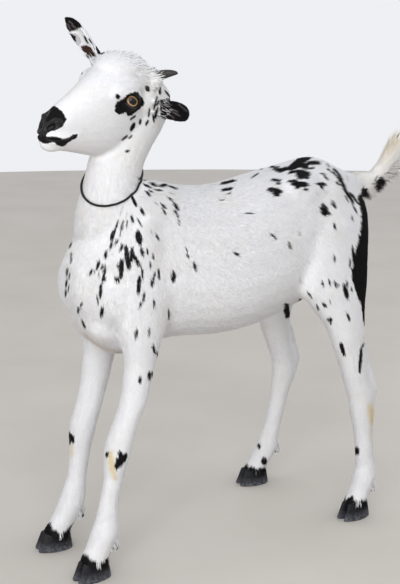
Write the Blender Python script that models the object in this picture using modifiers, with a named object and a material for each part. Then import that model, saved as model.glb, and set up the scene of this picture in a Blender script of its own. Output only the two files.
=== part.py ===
"""Teddy goat, standing with its head up, as a still life-size model.

The goat faces -Y, its left side is +X, and its hooves stand on z = 0.
The body is modelled whole from lofted stations, then parted with thin cuts.
"""
import math
import random

import bmesh
import bpy
from mathutils import Euler, Matrix, Vector
from mathutils.bvhtree import BVHTree

# Driving sizes, in metres. The tables below are stations along each form.
GAP = 0.0003
LEFT, RIGHT = 1, -1

# Torso stations: y, back height, belly height, half width, height where it is widest.
TORSO = [
    (0.004, 0.482, 0.430, 0.024, 0.456),
    (0.018, 0.508, 0.388, 0.050, 0.447),
    (0.044, 0.548, 0.354, 0.069, 0.446),
    (0.075, 0.586, 0.333, 0.080, 0.446),
    (0.110, 0.602, 0.335, 0.085, 0.446),
    (0.150, 0.602, 0.347, 0.091, 0.444),
    (0.190, 0.593, 0.348, 0.098, 0.438),
    (0.235, 0.588, 0.344, 0.104, 0.434),
    (0.285, 0.590, 0.344, 0.105, 0.438),
    (0.335, 0.600, 0.350, 0.101, 0.450),
    (0.385, 0.609, 0.363, 0.094, 0.468),
    (0.430, 0.618, 0.374, 0.087, 0.494),
    (0.470, 0.622, 0.394, 0.083, 0.512),
    (0.505, 0.608, 0.420, 0.074, 0.520),
    (0.536, 0.595, 0.455, 0.056, 0.530),
    (0.562, 0.585, 0.500, 0.030, 0.545),
]

# Neck stations: x, y, z, half depth, half width.
NECK = [
    (0.000, 0.098, 0.470, 0.066, 0.056),
    (0.000, 0.0885, 0.520, 0.0662, 0.0535),
    (0.000, 0.0815, 0.556, 0.0582, 0.0475),
    (0.000, 0.0805, 0.590, 0.0466, 0.0395),
    (0.000, 0.0885, 0.624, 0.0454, 0.0384),
    (0.001, 0.1005, 0.652, 0.0480, 0.0388),
    (0.003, 0.115, 0.682, 0.053, 0.039),
    (0.005, 0.128, 0.712, 0.051, 0.037),
    (0.007, 0.139, 0.736, 0.039, 0.031),
    (0.008, 0.145, 0.750, 0.020, 0.018),
]

# The head's own frame has its origin midway between the eyes. It faces -Y too.
EYES_MIDDLE = Vector((0.022, 0.068, 0.737))
HEAD_YAW, HEAD_PITCH, HEAD_ROLL = 19.0, -4.5, 14.5

# Skull stations: forward, top, bottom, half width, height where it is widest.
SKULL = [
    (-0.082, 0.018, -0.030, 0.016, -0.004),
    (-0.070, 0.040, -0.052, 0.031, -0.006),
    (-0.050, 0.055, -0.080, 0.040, -0.010),
    (-0.028, 0.062, -0.095, 0.043, -0.014),
    (0.000, 0.056, -0.098, 0.042, -0.016),
    (0.026, 0.038, -0.096, 0.036, -0.026),
    (0.052, 0.014, -0.093, 0.029, -0.038),
    (0.074, -0.006, -0.091, 0.0245, -0.050),
    (0.092, -0.021, -0.091, 0.0225, -0.057),
    (0.104, -0.035, -0.088, 0.0205, -0.061),
    (0.112, -0.047, -0.081, 0.0155, -0.064),
    (0.116, -0.056, -0.073, 0.0080, -0.064),
]

# Rounded forms of the head: name, centre, radii, tilt. Those off the middle come in pairs.
HEAD_FORMS = [
    ("forehead", (0.000, 0.008, 0.034), (0.036, 0.038, 0.028), 0),
    ("poll", (0.000, 0.046, 0.025), (0.029, 0.028, 0.028), 0),
    ("upper lip", (0.000, -0.101, -0.060), (0.018, 0.014, 0.011), 0),
    ("chin", (0.000, -0.096, -0.083), (0.015, 0.017, 0.010), 0),
    ("cheek", (0.021, 0.010, -0.050), (0.016, 0.038, 0.034), 25),
    ("orbit", (0.0335, 0.004, 0.005), (0.0160, 0.0240, 0.0210), 0),
    ("brow", (0.0355, 0.000, 0.012), (0.0142, 0.0290, 0.0165), 15),
    ("lip", (0.013, -0.088, -0.064), (0.012, 0.022, 0.013), 0),
    ("nostril wing", (0.012, -0.1005, -0.047), (0.009, 0.012, 0.010), 0),
    ("ear base", (0.034, 0.046, -0.002), (0.016, 0.017, 0.021), 0),
    ("horn boss", (0.0300, 0.0590, 0.0295), (0.0155, 0.0145, 0.0135), 0),
]

# Rounded forms of the body, in pairs: name, centre, radii, tilt.
MUSCLES = [
    ("shoulder", (0.058, 0.092, 0.470), (0.030, 0.046, 0.092), -16),
    ("shoulder point", (0.058, 0.060, 0.436), (0.026, 0.032, 0.046), 0),
    ("breast", (0.020, 0.0288, 0.448), (0.030, 0.030, 0.050), 0),
    ("brisket", (0.024, 0.0555, 0.395), (0.034, 0.036, 0.040), 0),
    ("hip", (0.044, 0.410, 0.560), (0.034, 0.060, 0.040), 0),
    ("buttock", (0.050, 0.522, 0.506), (0.028, 0.026, 0.060), 0),
    ("stifle", (0.090, 0.427, 0.408), (0.024, 0.028, 0.038), -20),
]

# How each skin is made: grain of the remesh, rounds of softening, triangles left.
BODY_SKIN = {"grain": 0.0045, "rounds": 4, "triangles": 5300}
HEAD_SKIN = {"grain": 0.0026, "rounds": 6, "triangles": 2600}

# Leg stations: x, y, z, half depth, half width.
LEG_FRONT_LEFT = [
    (0.058, 0.098, 0.500, 0.050, 0.026),
    (0.066, 0.096, 0.440, 0.052, 0.028),
    (0.070, 0.093, 0.385, 0.040, 0.027),
    (0.071, 0.088, 0.337, 0.0268, 0.024),
    (0.071, 0.0825, 0.306, 0.0235, 0.0222),
    (0.071, 0.0762, 0.275, 0.0221, 0.0212),
    (0.070, 0.0640, 0.246, 0.0206, 0.0198),
    (0.069, 0.0525, 0.216, 0.0220, 0.0212),
    (0.069, 0.047, 0.193, 0.0212, 0.0208),
    (0.068, 0.043, 0.169, 0.0175, 0.0165),
    (0.068, 0.040, 0.153, 0.0156, 0.0142),
    (0.067, 0.0335, 0.123, 0.0156, 0.0142),
    (0.066, 0.0285, 0.091, 0.0184, 0.0168),
    (0.066, 0.0248, 0.071, 0.0226, 0.0202),
    (0.065, 0.0182, 0.053, 0.0222, 0.0198),
    (0.065, 0.0098, 0.038, 0.0216, 0.0200),
    (0.065, 0.004, 0.025, 0.0225, 0.0202),
    (0.065, 0.003, 0.010, 0.0225, 0.0202),
]
LEG_FRONT_RIGHT = [
    (-0.058, 0.098, 0.500, 0.050, 0.026),
    (-0.066, 0.096, 0.440, 0.052, 0.028),
    (-0.070, 0.095, 0.385, 0.043, 0.027),
    (-0.071, 0.094, 0.330, 0.030, 0.025),
    (-0.071, 0.090, 0.304, 0.0270, 0.0235),
    (-0.071, 0.083, 0.271, 0.0240, 0.0220),
    (-0.070, 0.073, 0.238, 0.0225, 0.0210),
    (-0.069, 0.061, 0.206, 0.0228, 0.0215),
    (-0.069, 0.056, 0.182, 0.0210, 0.0205),
    (-0.068, 0.052, 0.156, 0.0172, 0.0160),
    (-0.067, 0.0462, 0.122, 0.0166, 0.0146),
    (-0.066, 0.0406, 0.100, 0.0182, 0.0162),
    (-0.066, 0.0342, 0.075, 0.0226, 0.0202),
    (-0.066, 0.0256, 0.057, 0.0224, 0.0198),
    (-0.065, 0.0144, 0.042, 0.0220, 0.0198),
    (-0.065, 0.004, 0.027, 0.0220, 0.0200),
    (-0.065, 0.002, 0.010, 0.0220, 0.0200),
]
LEG_HIND_LEFT = [
    (0.045, 0.462, 0.560, 0.050, 0.030),
    (0.056, 0.463, 0.510, 0.081, 0.038),
    (0.066, 0.458, 0.462, 0.079, 0.041),
    (0.080, 0.455, 0.415, 0.071, 0.038),
    (0.092, 0.460, 0.378, 0.052, 0.033),
    (0.100, 0.467, 0.348, 0.039, 0.028),
    (0.104, 0.471, 0.320, 0.0325, 0.0245),
    (0.106, 0.479, 0.286, 0.0262, 0.0215),
    (0.106, 0.491, 0.250, 0.0255, 0.0200),
    (0.106, 0.503, 0.220, 0.0262, 0.0205),
    (0.106, 0.506, 0.193, 0.0238, 0.0188),
    (0.106, 0.510, 0.155, 0.0178, 0.0150),
    (0.106, 0.514, 0.118, 0.0170, 0.0145),
    (0.106, 0.517, 0.092, 0.0180, 0.0160),
    (0.106, 0.5165, 0.072, 0.0218, 0.0196),
    (0.106, 0.5105, 0.054, 0.0204, 0.0190),
    (0.106, 0.502, 0.037, 0.0198, 0.0190),
    (0.106, 0.496, 0.022, 0.0222, 0.0200),
    (0.106, 0.494, 0.008, 0.0222, 0.0200),
]
LEG_HIND_RIGHT = [
    (-0.045, 0.462, 0.560, 0.050, 0.030),
    (-0.056, 0.463, 0.510, 0.081, 0.038),
    (-0.066, 0.459, 0.462, 0.081, 0.041),
    (-0.082, 0.460, 0.412, 0.072, 0.038),
    (-0.096, 0.464, 0.372, 0.054, 0.033),
    (-0.107, 0.473, 0.340, 0.041, 0.028),
    (-0.113, 0.480, 0.310, 0.0325, 0.0245),
    (-0.117, 0.492, 0.270, 0.0262, 0.0215),
    (-0.118, 0.508, 0.232, 0.0265, 0.0208),
    (-0.118, 0.508, 0.205, 0.0250, 0.0195),
    (-0.118, 0.501, 0.182, 0.0205, 0.0170),
    (-0.118, 0.495, 0.152, 0.0175, 0.0148),
    (-0.118, 0.484, 0.114, 0.0170, 0.0145),
    (-0.118, 0.474, 0.083, 0.0190, 0.0172),
    (-0.118, 0.4672, 0.064, 0.0220, 0.0197),
    (-0.118, 0.4545, 0.044, 0.0208, 0.0192),
    (-0.118, 0.442, 0.027, 0.0218, 0.0198),
    (-0.118, 0.438, 0.010, 0.0218, 0.0198),
]

# Point of each hock, and the tendon above it as steps from that point.
HOCK_POINTS = ((0.106, 0.528, 0.222), (-0.118, 0.534, 0.230))
HOCK_TENDON = ((-0.004, -0.016), (0.000, 0.004), (-0.010, 0.045), (-0.028, 0.100))
HOCK_RADII = (0.0090, 0.0105, 0.0075, 0.0080)

# Tail stations: x, y, z, half depth, half width, for the bony core under the hair.
TAIL = [
    (0.000, 0.520, 0.548, 0.034, 0.028),
    (0.000, 0.552, 0.560, 0.030, 0.024),
    (0.000, 0.580, 0.566, 0.0235, 0.019),
    (0.000, 0.602, 0.573, 0.0165, 0.014),
    (0.000, 0.620, 0.586, 0.0130, 0.012),
    (0.000, 0.635, 0.601, 0.0105, 0.0095),
    (0.000, 0.648, 0.616, 0.0080, 0.0075),
    (0.000, 0.656, 0.625, 0.0030, 0.0030),
]
TAIL_HAIR = {"rows": 4, "around": 5, "length": (0.042, 0.054), "width": 0.0105, "thickness": 0.0023}
ROOT_HAIR = {"start": (0.0055, 0.592, 0.562), "length": 0.032, "width": 0.0065, "thickness": 0.0020}

# Cuts between the parts of the body: two points on each plane, seen from the side.
NECK_CUT_FRONT, NECK_CUT_BACK = (0.010, 0.500), (0.137, 0.607)
HEAD_CUT_FRONT, HEAD_CUT_BACK = (0.040, 0.622), (0.170, 0.692)
TAIL_CUT_TOP, TAIL_CUT_BOTTOM = (0.556, 0.590), (0.584, 0.536)
FRONT_LEG_BOX = {"y": (-0.10, 0.138), "x": (0.026, 0.20), "top": (0.385, 0.330)}
HIND_LEG_BOX = {"y": (0.374, 0.620), "x": (0.010, 0.24), "top": (0.378, 0.492)}

# Hooves: two claws a foot, on soles that lie flat on the floor.
HOOF_LENGTH, CLAW_WIDTH, CLAW_INNER, CLEFT = 0.058, 0.0192, 0.0073, 0.0018
CORONET_FRONT, CORONET_BACK = 0.034, 0.017
# Levels of a claw: share of its height, share of its size there, shift to the back.
CLAW_LEVELS = (
    (0.00, 0.96, 0.0000), (0.08, 1.00, 0.0000), (0.50, 0.90, 0.0024),
    (0.93, 0.80, 0.0044), (1.00, 0.74, 0.0048),
)
DEWCLAW_RADII, DEWCLAW_TILT, DEWCLAW_APART, DEWCLAW_HEIGHT = (0.0050, 0.0058, 0.0090), 24, 0.0090, 0.056

# Feet: middle of the sole, and how far the toes turn out to the left, in degrees.
FEET = {
    "front_left": ((0.065, 0.001), 4.0),
    "front_right": ((-0.065, -0.001), -6.0),
    "hind_left": ((0.106, 0.493), 5.0),
    "hind_right": ((-0.118, 0.436), -8.0),
}

# Eyes and their lids: place, outward way and way along the slit, in the head's frame.
EYE_RADIUS, EYE_PLACE = 0.0125, (0.0400, 0.005, -0.001)
EYE_AXIS, SLIT_AXIS = (0.86, -0.48, 0.10), (0.48, 0.765, -0.43)
LID_THICKNESS, LID_WIDTH, LID_HEIGHT = 0.0022, 0.0235, 0.0175

# Mouth groove: middle it is seen from, degrees to each corner, rise at the corners, radius.
MOUTH_MIDDLE, MOUTH_REACH, MOUTH_RADIUS = (0.0, -0.080, -0.071), 108.0, 0.0013
MOUTH_DROOP, MOUTH_CORNER = 0.006, 0.010

# Nostrils: inner end, run to the outer end, and how each bends back and down.
NOSTRIL_START, NOSTRIL_RUN = (0.0065, -0.1140, -0.0590), (0.0085, 0.0, 0.0125)
NOSTRIL_BEND, NOSTRIL_RADII = (0.0, 0.0075, -0.0020), (0.0011, 0.0021)

# Ears: root, tip and the direction that the cup opens to, in the head's frame.
EARS = {
    "ear_left": ((0.036, 0.050, -0.008), (0.1255, 0.0365, 0.0030), (0.2, -1.0, -0.2)),
    "ear_right": ((-0.044, 0.036, 0.014), (-0.1173, -0.0033, 0.0819), (-0.3, -1.0, -0.2)),
}
EAR_WIDTH = {"ear_left": 0.0365, "ear_right": 0.0395}
EAR_THICKNESS, EAR_ROOT, EAR_STEPS = 0.0026, 0.86, 11
EAR_ROLL_ROOT, EAR_ROLL_TIP = 112, 62

# Horns: where the middle line starts, how far it goes out, back and up, and how it bends down.
HORN_START, HORN_RUN, HORN_BEND = (0.022, 0.052, 0.0276), (0.034, 0.026, 0.030), 0.010
HORN_RADIUS, HORN_TIP = 0.0075, 0.0012

# Cord round the neck: its middle, the side on which it hangs low, and how steeply.
CORD_RADIUS, CORD_POINTS = 0.0018, 40
CORD_MIDDLE, CORD_LOW_SIDE, CORD_SLOPE = (0.0, 0.0795, 0.6037), (0.866, -0.500, 0.0), 0.723

RING_POINTS = 24

WHITE_COAT = ("white_coat", (0.86, 0.84, 0.81), 0.75)
DARK_HORN = ("dark_horn", (0.055, 0.050, 0.048), 0.45)
EYE_AMBER = ("eye_amber", (0.32, 0.14, 0.04), 0.08)
DARK_CORD = ("dark_cord", (0.020, 0.018, 0.017), 0.80)


def clear_scene():
    for item in list(bpy.data.objects):
        bpy.data.objects.remove(item, do_unlink=True)


def new_collection(name):
    group = bpy.data.collections.new(name)
    bpy.context.scene.collection.children.link(group)
    return group


def material(spec):
    name, colour, roughness = spec
    if name in bpy.data.materials:
        return bpy.data.materials[name]
    made = bpy.data.materials.new(name)
    made.use_nodes = True
    shader = made.node_tree.nodes["Principled BSDF"]
    shader.inputs["Base Color"].default_value = (*colour, 1.0)
    shader.inputs["Roughness"].default_value = roughness
    return made


def mesh_object(name, shape, group):
    mesh = bpy.data.meshes.new(name)
    shape.to_mesh(mesh)
    shape.free()
    item = bpy.data.objects.new(name, mesh)
    group.objects.link(item)
    return item


def smooth_rows(rows, steps):
    """Catmull-Rom curve through rows of numbers, with steps points a gap."""
    made = []
    for i in range(len(rows) - 1):
        before = rows[max(i - 1, 0)]
        after = rows[min(i + 2, len(rows) - 1)]
        for step in range(steps):
            t = step / steps
            made.append([curve_value(p, t) for p in zip(before, rows[i], rows[i + 1], after)])
    made.append(list(rows[-1]))
    return made


def curve_value(four, t):
    a, b, c, d = four
    bend = (2 * a - 5 * b + 4 * c - d) * t * t + (3 * b - a - 3 * c + d) * t ** 3
    return 0.5 * (2 * b + (c - a) * t + bend)


def ring(centre, side, up, width, rise, drop, squareness=2.0, count=RING_POINTS):
    """Closed oval: width to both sides, and its own reach above and below the centre."""
    points = []
    for i in range(count):
        angle = 2 * math.pi * i / count
        c, s = math.cos(angle), math.sin(angle)
        across = math.copysign(abs(c) ** (2 / squareness), c) * width
        reach = math.copysign(abs(s) ** (2 / squareness), s) * (rise if s > 0 else drop)
        points.append(centre + side * across + up * reach)
    return points


def loft(name, rings, group):
    """Skin over a run of rings, closed at both ends."""
    shape = bmesh.new()
    loops = [[shape.verts.new(p) for p in points] for points in rings]
    for low, high in zip(loops, loops[1:]):
        for i in range(len(low)):
            j = (i + 1) % len(low)
            shape.faces.new((low[i], low[j], high[j], high[i]))
    shape.faces.new(reversed(loops[0]))
    shape.faces.new(loops[-1])
    bmesh.ops.recalc_face_normals(shape, faces=shape.faces)
    return mesh_object(name, shape, group)


def ball(name, centre, radii, group, turn=(0, 0, 0), detail=3):
    shape = bmesh.new()
    bmesh.ops.create_icosphere(shape, subdivisions=detail, radius=1.0)
    place = Matrix.LocRotScale(centre, Euler([math.radians(a) for a in turn]), radii)
    bmesh.ops.transform(shape, matrix=place, verts=shape.verts)
    return mesh_object(name, shape, group)


def tube(name, stations, group, steps=3):
    """Upright form through stations of x, y, z, half depth and half width."""
    x_axis, y_axis = Vector((1, 0, 0)), Vector((0, 1, 0))
    rings = []
    for x, y, z, depth, width in smooth_rows(stations, steps):
        rings.append(ring(Vector((x, y, z)), x_axis, y_axis, width, depth, depth))
    return loft(name, rings, group)


def rod(name, path, radii, group, count=10):
    """Round form along a path, with a radius at each point."""
    rings = []
    for i, point in enumerate(path):
        ahead = path[min(i + 1, len(path) - 1)]
        behind = path[max(i - 1, 0)]
        along = (ahead - behind).normalized()
        side = along.cross(Vector((0.3, 0.2, 1.0))).normalized()
        rings.append(ring(point, side, side.cross(along), radii[i], radii[i], radii[i], count=count))
    return loft(name, rings, group)


def settle(item):
    """Apply the modifiers of an object to its mesh."""
    graph = bpy.context.evaluated_depsgraph_get()
    made = bpy.data.meshes.new_from_object(item.evaluated_get(graph))
    item.modifiers.clear()
    item.data = made
    return item


def copy_of(item, name, group):
    made = item.copy()
    made.data = item.data.copy()
    made.name = name
    group.objects.link(made)
    return made


def remove(items):
    for item in items:
        bpy.data.objects.remove(item, do_unlink=True)


def blend_forms(name, pieces, skin, group):
    """One closed skin over overlapping forms, softened and then thinned out."""
    shape = bmesh.new()
    for piece in pieces:
        shape.from_mesh(piece.data)
    whole = mesh_object(name, shape, group)
    remove(pieces)
    remesh = whole.modifiers.new("one skin", "REMESH")
    remesh.mode = "VOXEL"
    remesh.voxel_size = skin["grain"]
    soften = whole.modifiers.new("soften", "SMOOTH")
    soften.factor = 0.5
    soften.iterations = skin["rounds"]
    settle(whole)
    faces = 2 * len(whole.data.polygons)
    thin = whole.modifiers.new("thin out", "DECIMATE")
    thin.ratio = skin["triangles"] / faces
    return settle(whole)


def combine(item, other, operation):
    """EXACT Boolean of an object with another, or with a collection of objects."""
    cut = item.modifiers.new("combine", "BOOLEAN")
    cut.operation = operation
    cut.solver = "EXACT"
    if isinstance(other, bpy.types.Collection):
        cut.operand_type = "COLLECTION"
        cut.collection = other
    else:
        cut.object = other
    return settle(item)


def keep_largest(item):
    """Keep the largest closed surface and drop scraps and sealed hollows."""
    shape = bmesh.new()
    shape.from_mesh(item.data)
    bmesh.ops.remove_doubles(shape, verts=shape.verts, dist=0.000002)
    left = set(shape.verts)
    islands = []
    while left:
        start = left.pop()
        island, edge_of = {start}, [start]
        while edge_of:
            vert = edge_of.pop()
            for edge in vert.link_edges:
                other = edge.other_vert(vert)
                if other not in island:
                    island.add(other)
                    edge_of.append(other)
        left -= island
        islands.append(island)
    largest = max(islands, key=island_span)
    loose = [v for v in shape.verts if v not in largest]
    bmesh.ops.delete(shape, geom=loose, context="VERTS")
    shape.to_mesh(item.data)
    shape.free()
    return item


def island_span(island):
    spans = [max(v.co[i] for v in island) - min(v.co[i] for v in island) for i in range(3)]
    return sum(spans)


def slice_off(item, point, normal):
    """Keep the side of a plane that its normal points away from, and close the cut."""
    shape = bmesh.new()
    shape.from_mesh(item.data)
    everything = shape.verts[:] + shape.edges[:] + shape.faces[:]
    bmesh.ops.bisect_plane(
        shape, geom=everything, dist=0.000001, plane_co=point, plane_no=normal, clear_outer=True
    )
    rims = [e for e in shape.edges if e.is_boundary]
    bmesh.ops.holes_fill(shape, edges=rims, sides=0)
    bmesh.ops.triangulate(shape, faces=shape.faces)
    bmesh.ops.recalc_face_normals(shape, faces=shape.faces)
    shape.to_mesh(item.data)
    shape.free()
    return item


def cut_plane(front, back):
    """Plane across the body through two points seen from the side, facing up or back."""
    run = Vector((0, back[0] - front[0], back[1] - front[1]))
    normal = Vector((1, 0, 0)).cross(run).normalized()
    return Vector((0, *front)), normal


def grown(item, by, name, group):
    """Copy of an object, made larger by a small distance all over."""
    made = copy_of(item, name, group)
    push = made.modifiers.new("grow", "DISPLACE")
    push.strength = by
    push.mid_level = 0.0
    return settle(made)


def tail_form(group):
    """Tail's core, with each ring square to the way the tail runs."""
    side = Vector((1, 0, 0))
    rows = smooth_rows(TAIL, 3)
    rings = []
    for i, (x, y, z, depth, width) in enumerate(rows):
        ahead = Vector(rows[min(i + 1, len(rows) - 1)][:3])
        behind = Vector(rows[max(i - 1, 0)][:3])
        up = side.cross(ahead - behind).normalized()
        rings.append(ring(Vector((x, y, z)), side, up, width, depth, depth))
    return loft("tail form", rings, group)


def torso_form(group):
    side, up = Vector((1, 0, 0)), Vector((0, 0, 1))
    rings = []
    for y, top, bottom, width, widest in smooth_rows(TORSO, 3):
        centre = Vector((0, y, widest))
        rings.append(ring(centre, side, up, width, top - widest, widest - bottom, 2.1))
    return loft("torso form", rings, group)


def muscle_forms(group):
    """Shoulders, breast, hips, buttocks and stifles that stand out from the lofts."""
    made = []
    for name, (x, y, z), radii, tilt in MUSCLES:
        for side in (LEFT, RIGHT):
            made.append(ball(name, (side * x, y, z), radii, group, (tilt, 0, 0)))
    return made


def hock_forms(group):
    """The point of each hock and the tendon that runs up from it."""
    made = []
    for point in HOCK_POINTS:
        tendon = [Vector(point) + Vector((0, *step)) for step in HOCK_TENDON]
        made.append(rod("hock", tendon, HOCK_RADII, group))
    return made


def body_whole(group):
    pieces = [torso_form(group), tube("neck form", NECK, group), tail_form(group)]
    for stations in (LEG_FRONT_LEFT, LEG_FRONT_RIGHT, LEG_HIND_LEFT, LEG_HIND_RIGHT):
        pieces.append(tube("leg form", stations, group))
    pieces += muscle_forms(group)
    pieces += hock_forms(group)
    return blend_forms("body whole", pieces, BODY_SKIN, group)


def head_place():
    turn = Matrix.Rotation(math.radians(HEAD_YAW), 4, "Z")
    nod = Matrix.Rotation(math.radians(HEAD_PITCH), 4, "X")
    tilt = Matrix.Rotation(math.radians(HEAD_ROLL), 4, "Y")
    return Matrix.Translation(EYES_MIDDLE) @ turn @ nod @ tilt


def head_forms(group):
    """Skull loft with cheeks, brows, lips and nostril wings, in the head's own frame."""
    side, up = Vector((1, 0, 0)), Vector((0, 0, 1))
    rings = []
    for forward, top, bottom, width, widest in smooth_rows(SKULL, 3):
        centre = Vector((0, -forward, widest))
        rings.append(ring(centre, side, up, width, top - widest, widest - bottom, 2.2))
    made = [loft("skull", rings, group)]
    for name, (x, y, z), radii, tilt in HEAD_FORMS:
        sides = (LEFT, RIGHT) if x > 0 else (LEFT,)
        for side in sides:
            made.append(ball(name, (side * x, y, z), radii, group, (tilt, 0, 0)))
    return made


def head_whole(group):
    pieces = head_forms(group)
    for piece in pieces:
        piece.data.transform(head_place())
    pieces.append(tube("nape form", NECK, group))
    return blend_forms("head whole", pieces, HEAD_SKIN, group)


def ear_outline(t):
    """Share of the full width at a share of the length: narrower root, round tip."""
    root = EAR_ROOT + (1 - EAR_ROOT) * math.sin(min(t / 0.5, 1.0) * math.pi / 2)
    tip = math.sqrt(max(1.0 - (max(t - 0.62, 0.0) / 0.382) ** 2, 0.0))
    return root * tip


def ear_form(name, root, tip, opening, group):
    """Cupped ear between two points of the head's frame, open towards a direction.

    Each section is an arc of the ear's skin, rolled up at the root and open at the tip.
    """
    along = (tip - root).normalized()
    face = (opening - along * opening.dot(along)).normalized()
    across = along.cross(face).normalized()
    rings = []
    for step in range(EAR_STEPS + 1):
        t = step / EAR_STEPS
        roll = math.radians(EAR_ROLL_TIP + (EAR_ROLL_ROOT - EAR_ROLL_TIP) * (1 - t) ** 2)
        outer = EAR_WIDTH[name] / 2 * ear_outline(t) / roll
        inner = outer - EAR_THICKNESS * (1.0 - 0.5 * t) * min(1.0, outer / 0.006)
        centre = root + (tip - root) * t + face * outer * math.cos(roll) * 0.5
        turns = [-roll + 2 * roll * i / 8 for i in range(9)]
        arc = [(math.sin(a) * outer, -math.cos(a) * outer) for a in turns]
        arc += [(math.sin(a) * inner, -math.cos(a) * inner) for a in reversed(turns)]
        rings.append([centre + across * u + face * v for u, v in arc])
    return loft(name, rings, group)


def ears(head, group, spare):
    """Both ears stand out sideways, the right one raised and the left one lowered."""
    made = []
    shell = grown(head, GAP, "head grown", spare)
    for name, (root, tip, opening) in EARS.items():
        ear = ear_form(name, Vector(root), Vector(tip), Vector(opening), group)
        ear.data.transform(head_place())
        combine(ear, shell, "DIFFERENCE")
        made.append(keep_largest(ear))
    return made


def horns(head, group, spare):
    """Short horns that curve back and out from the top of the head."""
    made = []
    shell = grown(head, GAP, "head grown", spare)
    for name, side in (("horn_left", LEFT), ("horn_right", RIGHT)):
        path, radii = [], []
        for step in range(9):
            t = step / 8
            out, back, rise = (a + b * t for a, b in zip(HORN_START, HORN_RUN))
            path.append(head_place() @ Vector((side * out, back, rise - HORN_BEND * t * t)))
            radii.append(HORN_RADIUS * math.sqrt(1 - t ** 4) * (1 - 0.2 * t) + HORN_TIP)
        horn = rod(name, path, radii, group, count=14)
        combine(horn, shell, "DIFFERENCE")
        made.append(keep_largest(horn))
    return made


def eye_centre(side):
    x, y, z = EYE_PLACE
    return head_place() @ Vector((side * x, y, z))


def eye_directions(side):
    """Outward, along the slit, and up, for one eye, as world directions."""
    turn = head_place().to_3x3()
    out = (turn @ Vector((side * EYE_AXIS[0], EYE_AXIS[1], EYE_AXIS[2]))).normalized()
    slit = (turn @ Vector((side * SLIT_AXIS[0], SLIT_AXIS[1], SLIT_AXIS[2]))).normalized()
    slit = (slit - out * slit.dot(out)).normalized()
    return out, slit, out.cross(slit) * -side


def lid_opening(side, group):
    """Almond-shaped block that opens the lids over the eyeball."""
    out, slit, up = eye_directions(side)
    rings = []
    for reach, size in ((0.002, 0.7), (0.030, 1.25)):
        points = []
        for i in range(20):
            angle = 2 * math.pi * i / 20
            s = math.sin(angle)
            height = s * abs(s) ** 0.35 * LID_HEIGHT / 2 * (1.0 if s > 0 else 0.85)
            width = math.cos(angle) * LID_WIDTH / 2
            points.append(eye_centre(side) + out * reach + (slit * width + up * height) * size)
        rings.append(points)
    return loft("lid opening", rings, group)


def eyes(head, group, spare):
    """Eyeballs in sockets, under lids that wrap round them and open as an almond."""
    made = []
    for name, side in (("eye_left", LEFT), ("eye_right", RIGHT)):
        centre = eye_centre(side)
        cover = EYE_RADIUS + GAP + LID_THICKNESS
        reach = EYE_RADIUS + GAP
        combine(head, ball("lids", centre, (cover, cover, cover), spare), "UNION")
        combine(head, ball("socket", centre, (reach, reach, reach), spare), "DIFFERENCE")
        combine(head, lid_opening(side, spare), "DIFFERENCE")
        radii = (EYE_RADIUS, EYE_RADIUS, EYE_RADIUS)
        made.append(ball(name, centre, radii, group, detail=3))
    return made


def mouth_line(head, spare):
    """Groove between the lips, from one corner round the front to the other."""
    skin = bmesh.new()
    skin.from_mesh(head.data)
    tree = BVHTree.FromBMesh(skin)
    path = []
    for i in range(33):
        share = i / 16 - 1
        angle = math.radians(MOUTH_REACH * share)
        droop = MOUTH_DROOP * abs(share) * (1 - abs(share))
        start = Vector(MOUTH_MIDDLE) + Vector((0, 0, MOUTH_CORNER * abs(share) ** 3 - droop))
        outward = Vector((math.sin(angle), -math.cos(angle), 0))
        place = head_place()
        hit, normal, index, distance = tree.ray_cast(place @ start, place.to_3x3() @ outward, 0.1)
        path.append(hit)
    skin.free()
    radii = [MOUTH_RADIUS * (1 - 0.6 * abs(i / 16 - 1) ** 3) for i in range(33)]
    combine(head, rod("mouth", path, radii, spare, count=6), "DIFFERENCE")


def nostrils(head, spare):
    """Slanted comma-shaped openings in the front of the muzzle."""
    for side in (LEFT, RIGHT):
        path, radii = [], []
        for step in range(7):
            t = step / 6
            point = Vector(NOSTRIL_START) + Vector(NOSTRIL_RUN) * t + Vector(NOSTRIL_BEND) * t * t
            path.append(head_place() @ Vector((side * point.x, point.y, point.z)))
            swell = math.sin(math.pi * min(t + 0.12, 1.0))
            radii.append(NOSTRIL_RADII[0] + NOSTRIL_RADII[1] * swell)
        combine(head, rod("nostril", path, radii, spare, count=8), "DIFFERENCE")


def leg_box(name, sizes, side, grow, group):
    """Block that holds one leg, with a top that slopes from front to back."""
    shape = bmesh.new()
    bmesh.ops.create_cube(shape, size=2.0)
    y_low, y_high = sizes["y"]
    inner, outer = side * (sizes["x"][0] - grow), side * sizes["x"][1]
    front, back = sizes["top"]
    for vert in shape.verts:
        x = max(inner, outer) if vert.co.x > 0 else min(inner, outer)
        y = y_high + grow if vert.co.y > 0 else y_low - grow
        top = (back if vert.co.y > 0 else front) + grow
        vert.co = Vector((x, y, top if vert.co.z > 0 else -0.05))
    return mesh_object(name, shape, group)


def foot_place(foot):
    (x, y), turn = FEET[foot]
    return Matrix.Translation((x, y, 0)) @ Matrix.Rotation(math.radians(turn), 4, "Z")


def coronet_plane(foot):
    """Plane between the hair of a foot and its claws, higher at the toe."""
    half = HOOF_LENGTH / 2
    point, normal = cut_plane((-half, CORONET_FRONT), (half, CORONET_BACK))
    return foot_place(foot) @ point, foot_place(foot).to_3x3() @ normal


def legs_from(body, group, spare):
    """Part the legs from the body, and end each one above its claws."""
    made = []
    for foot in FEET:
        sizes = FRONT_LEG_BOX if foot.startswith("front") else HIND_LEG_BOX
        side = LEFT if foot.endswith("left") else RIGHT
        leg = copy_of(body, "leg_" + foot, group)
        combine(leg, leg_box("leg block", sizes, side, 0.0, spare), "INTERSECT")
        point, normal = coronet_plane(foot)
        slice_off(leg, point, -normal)
        made.append(keep_largest(leg))
    return made


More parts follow.
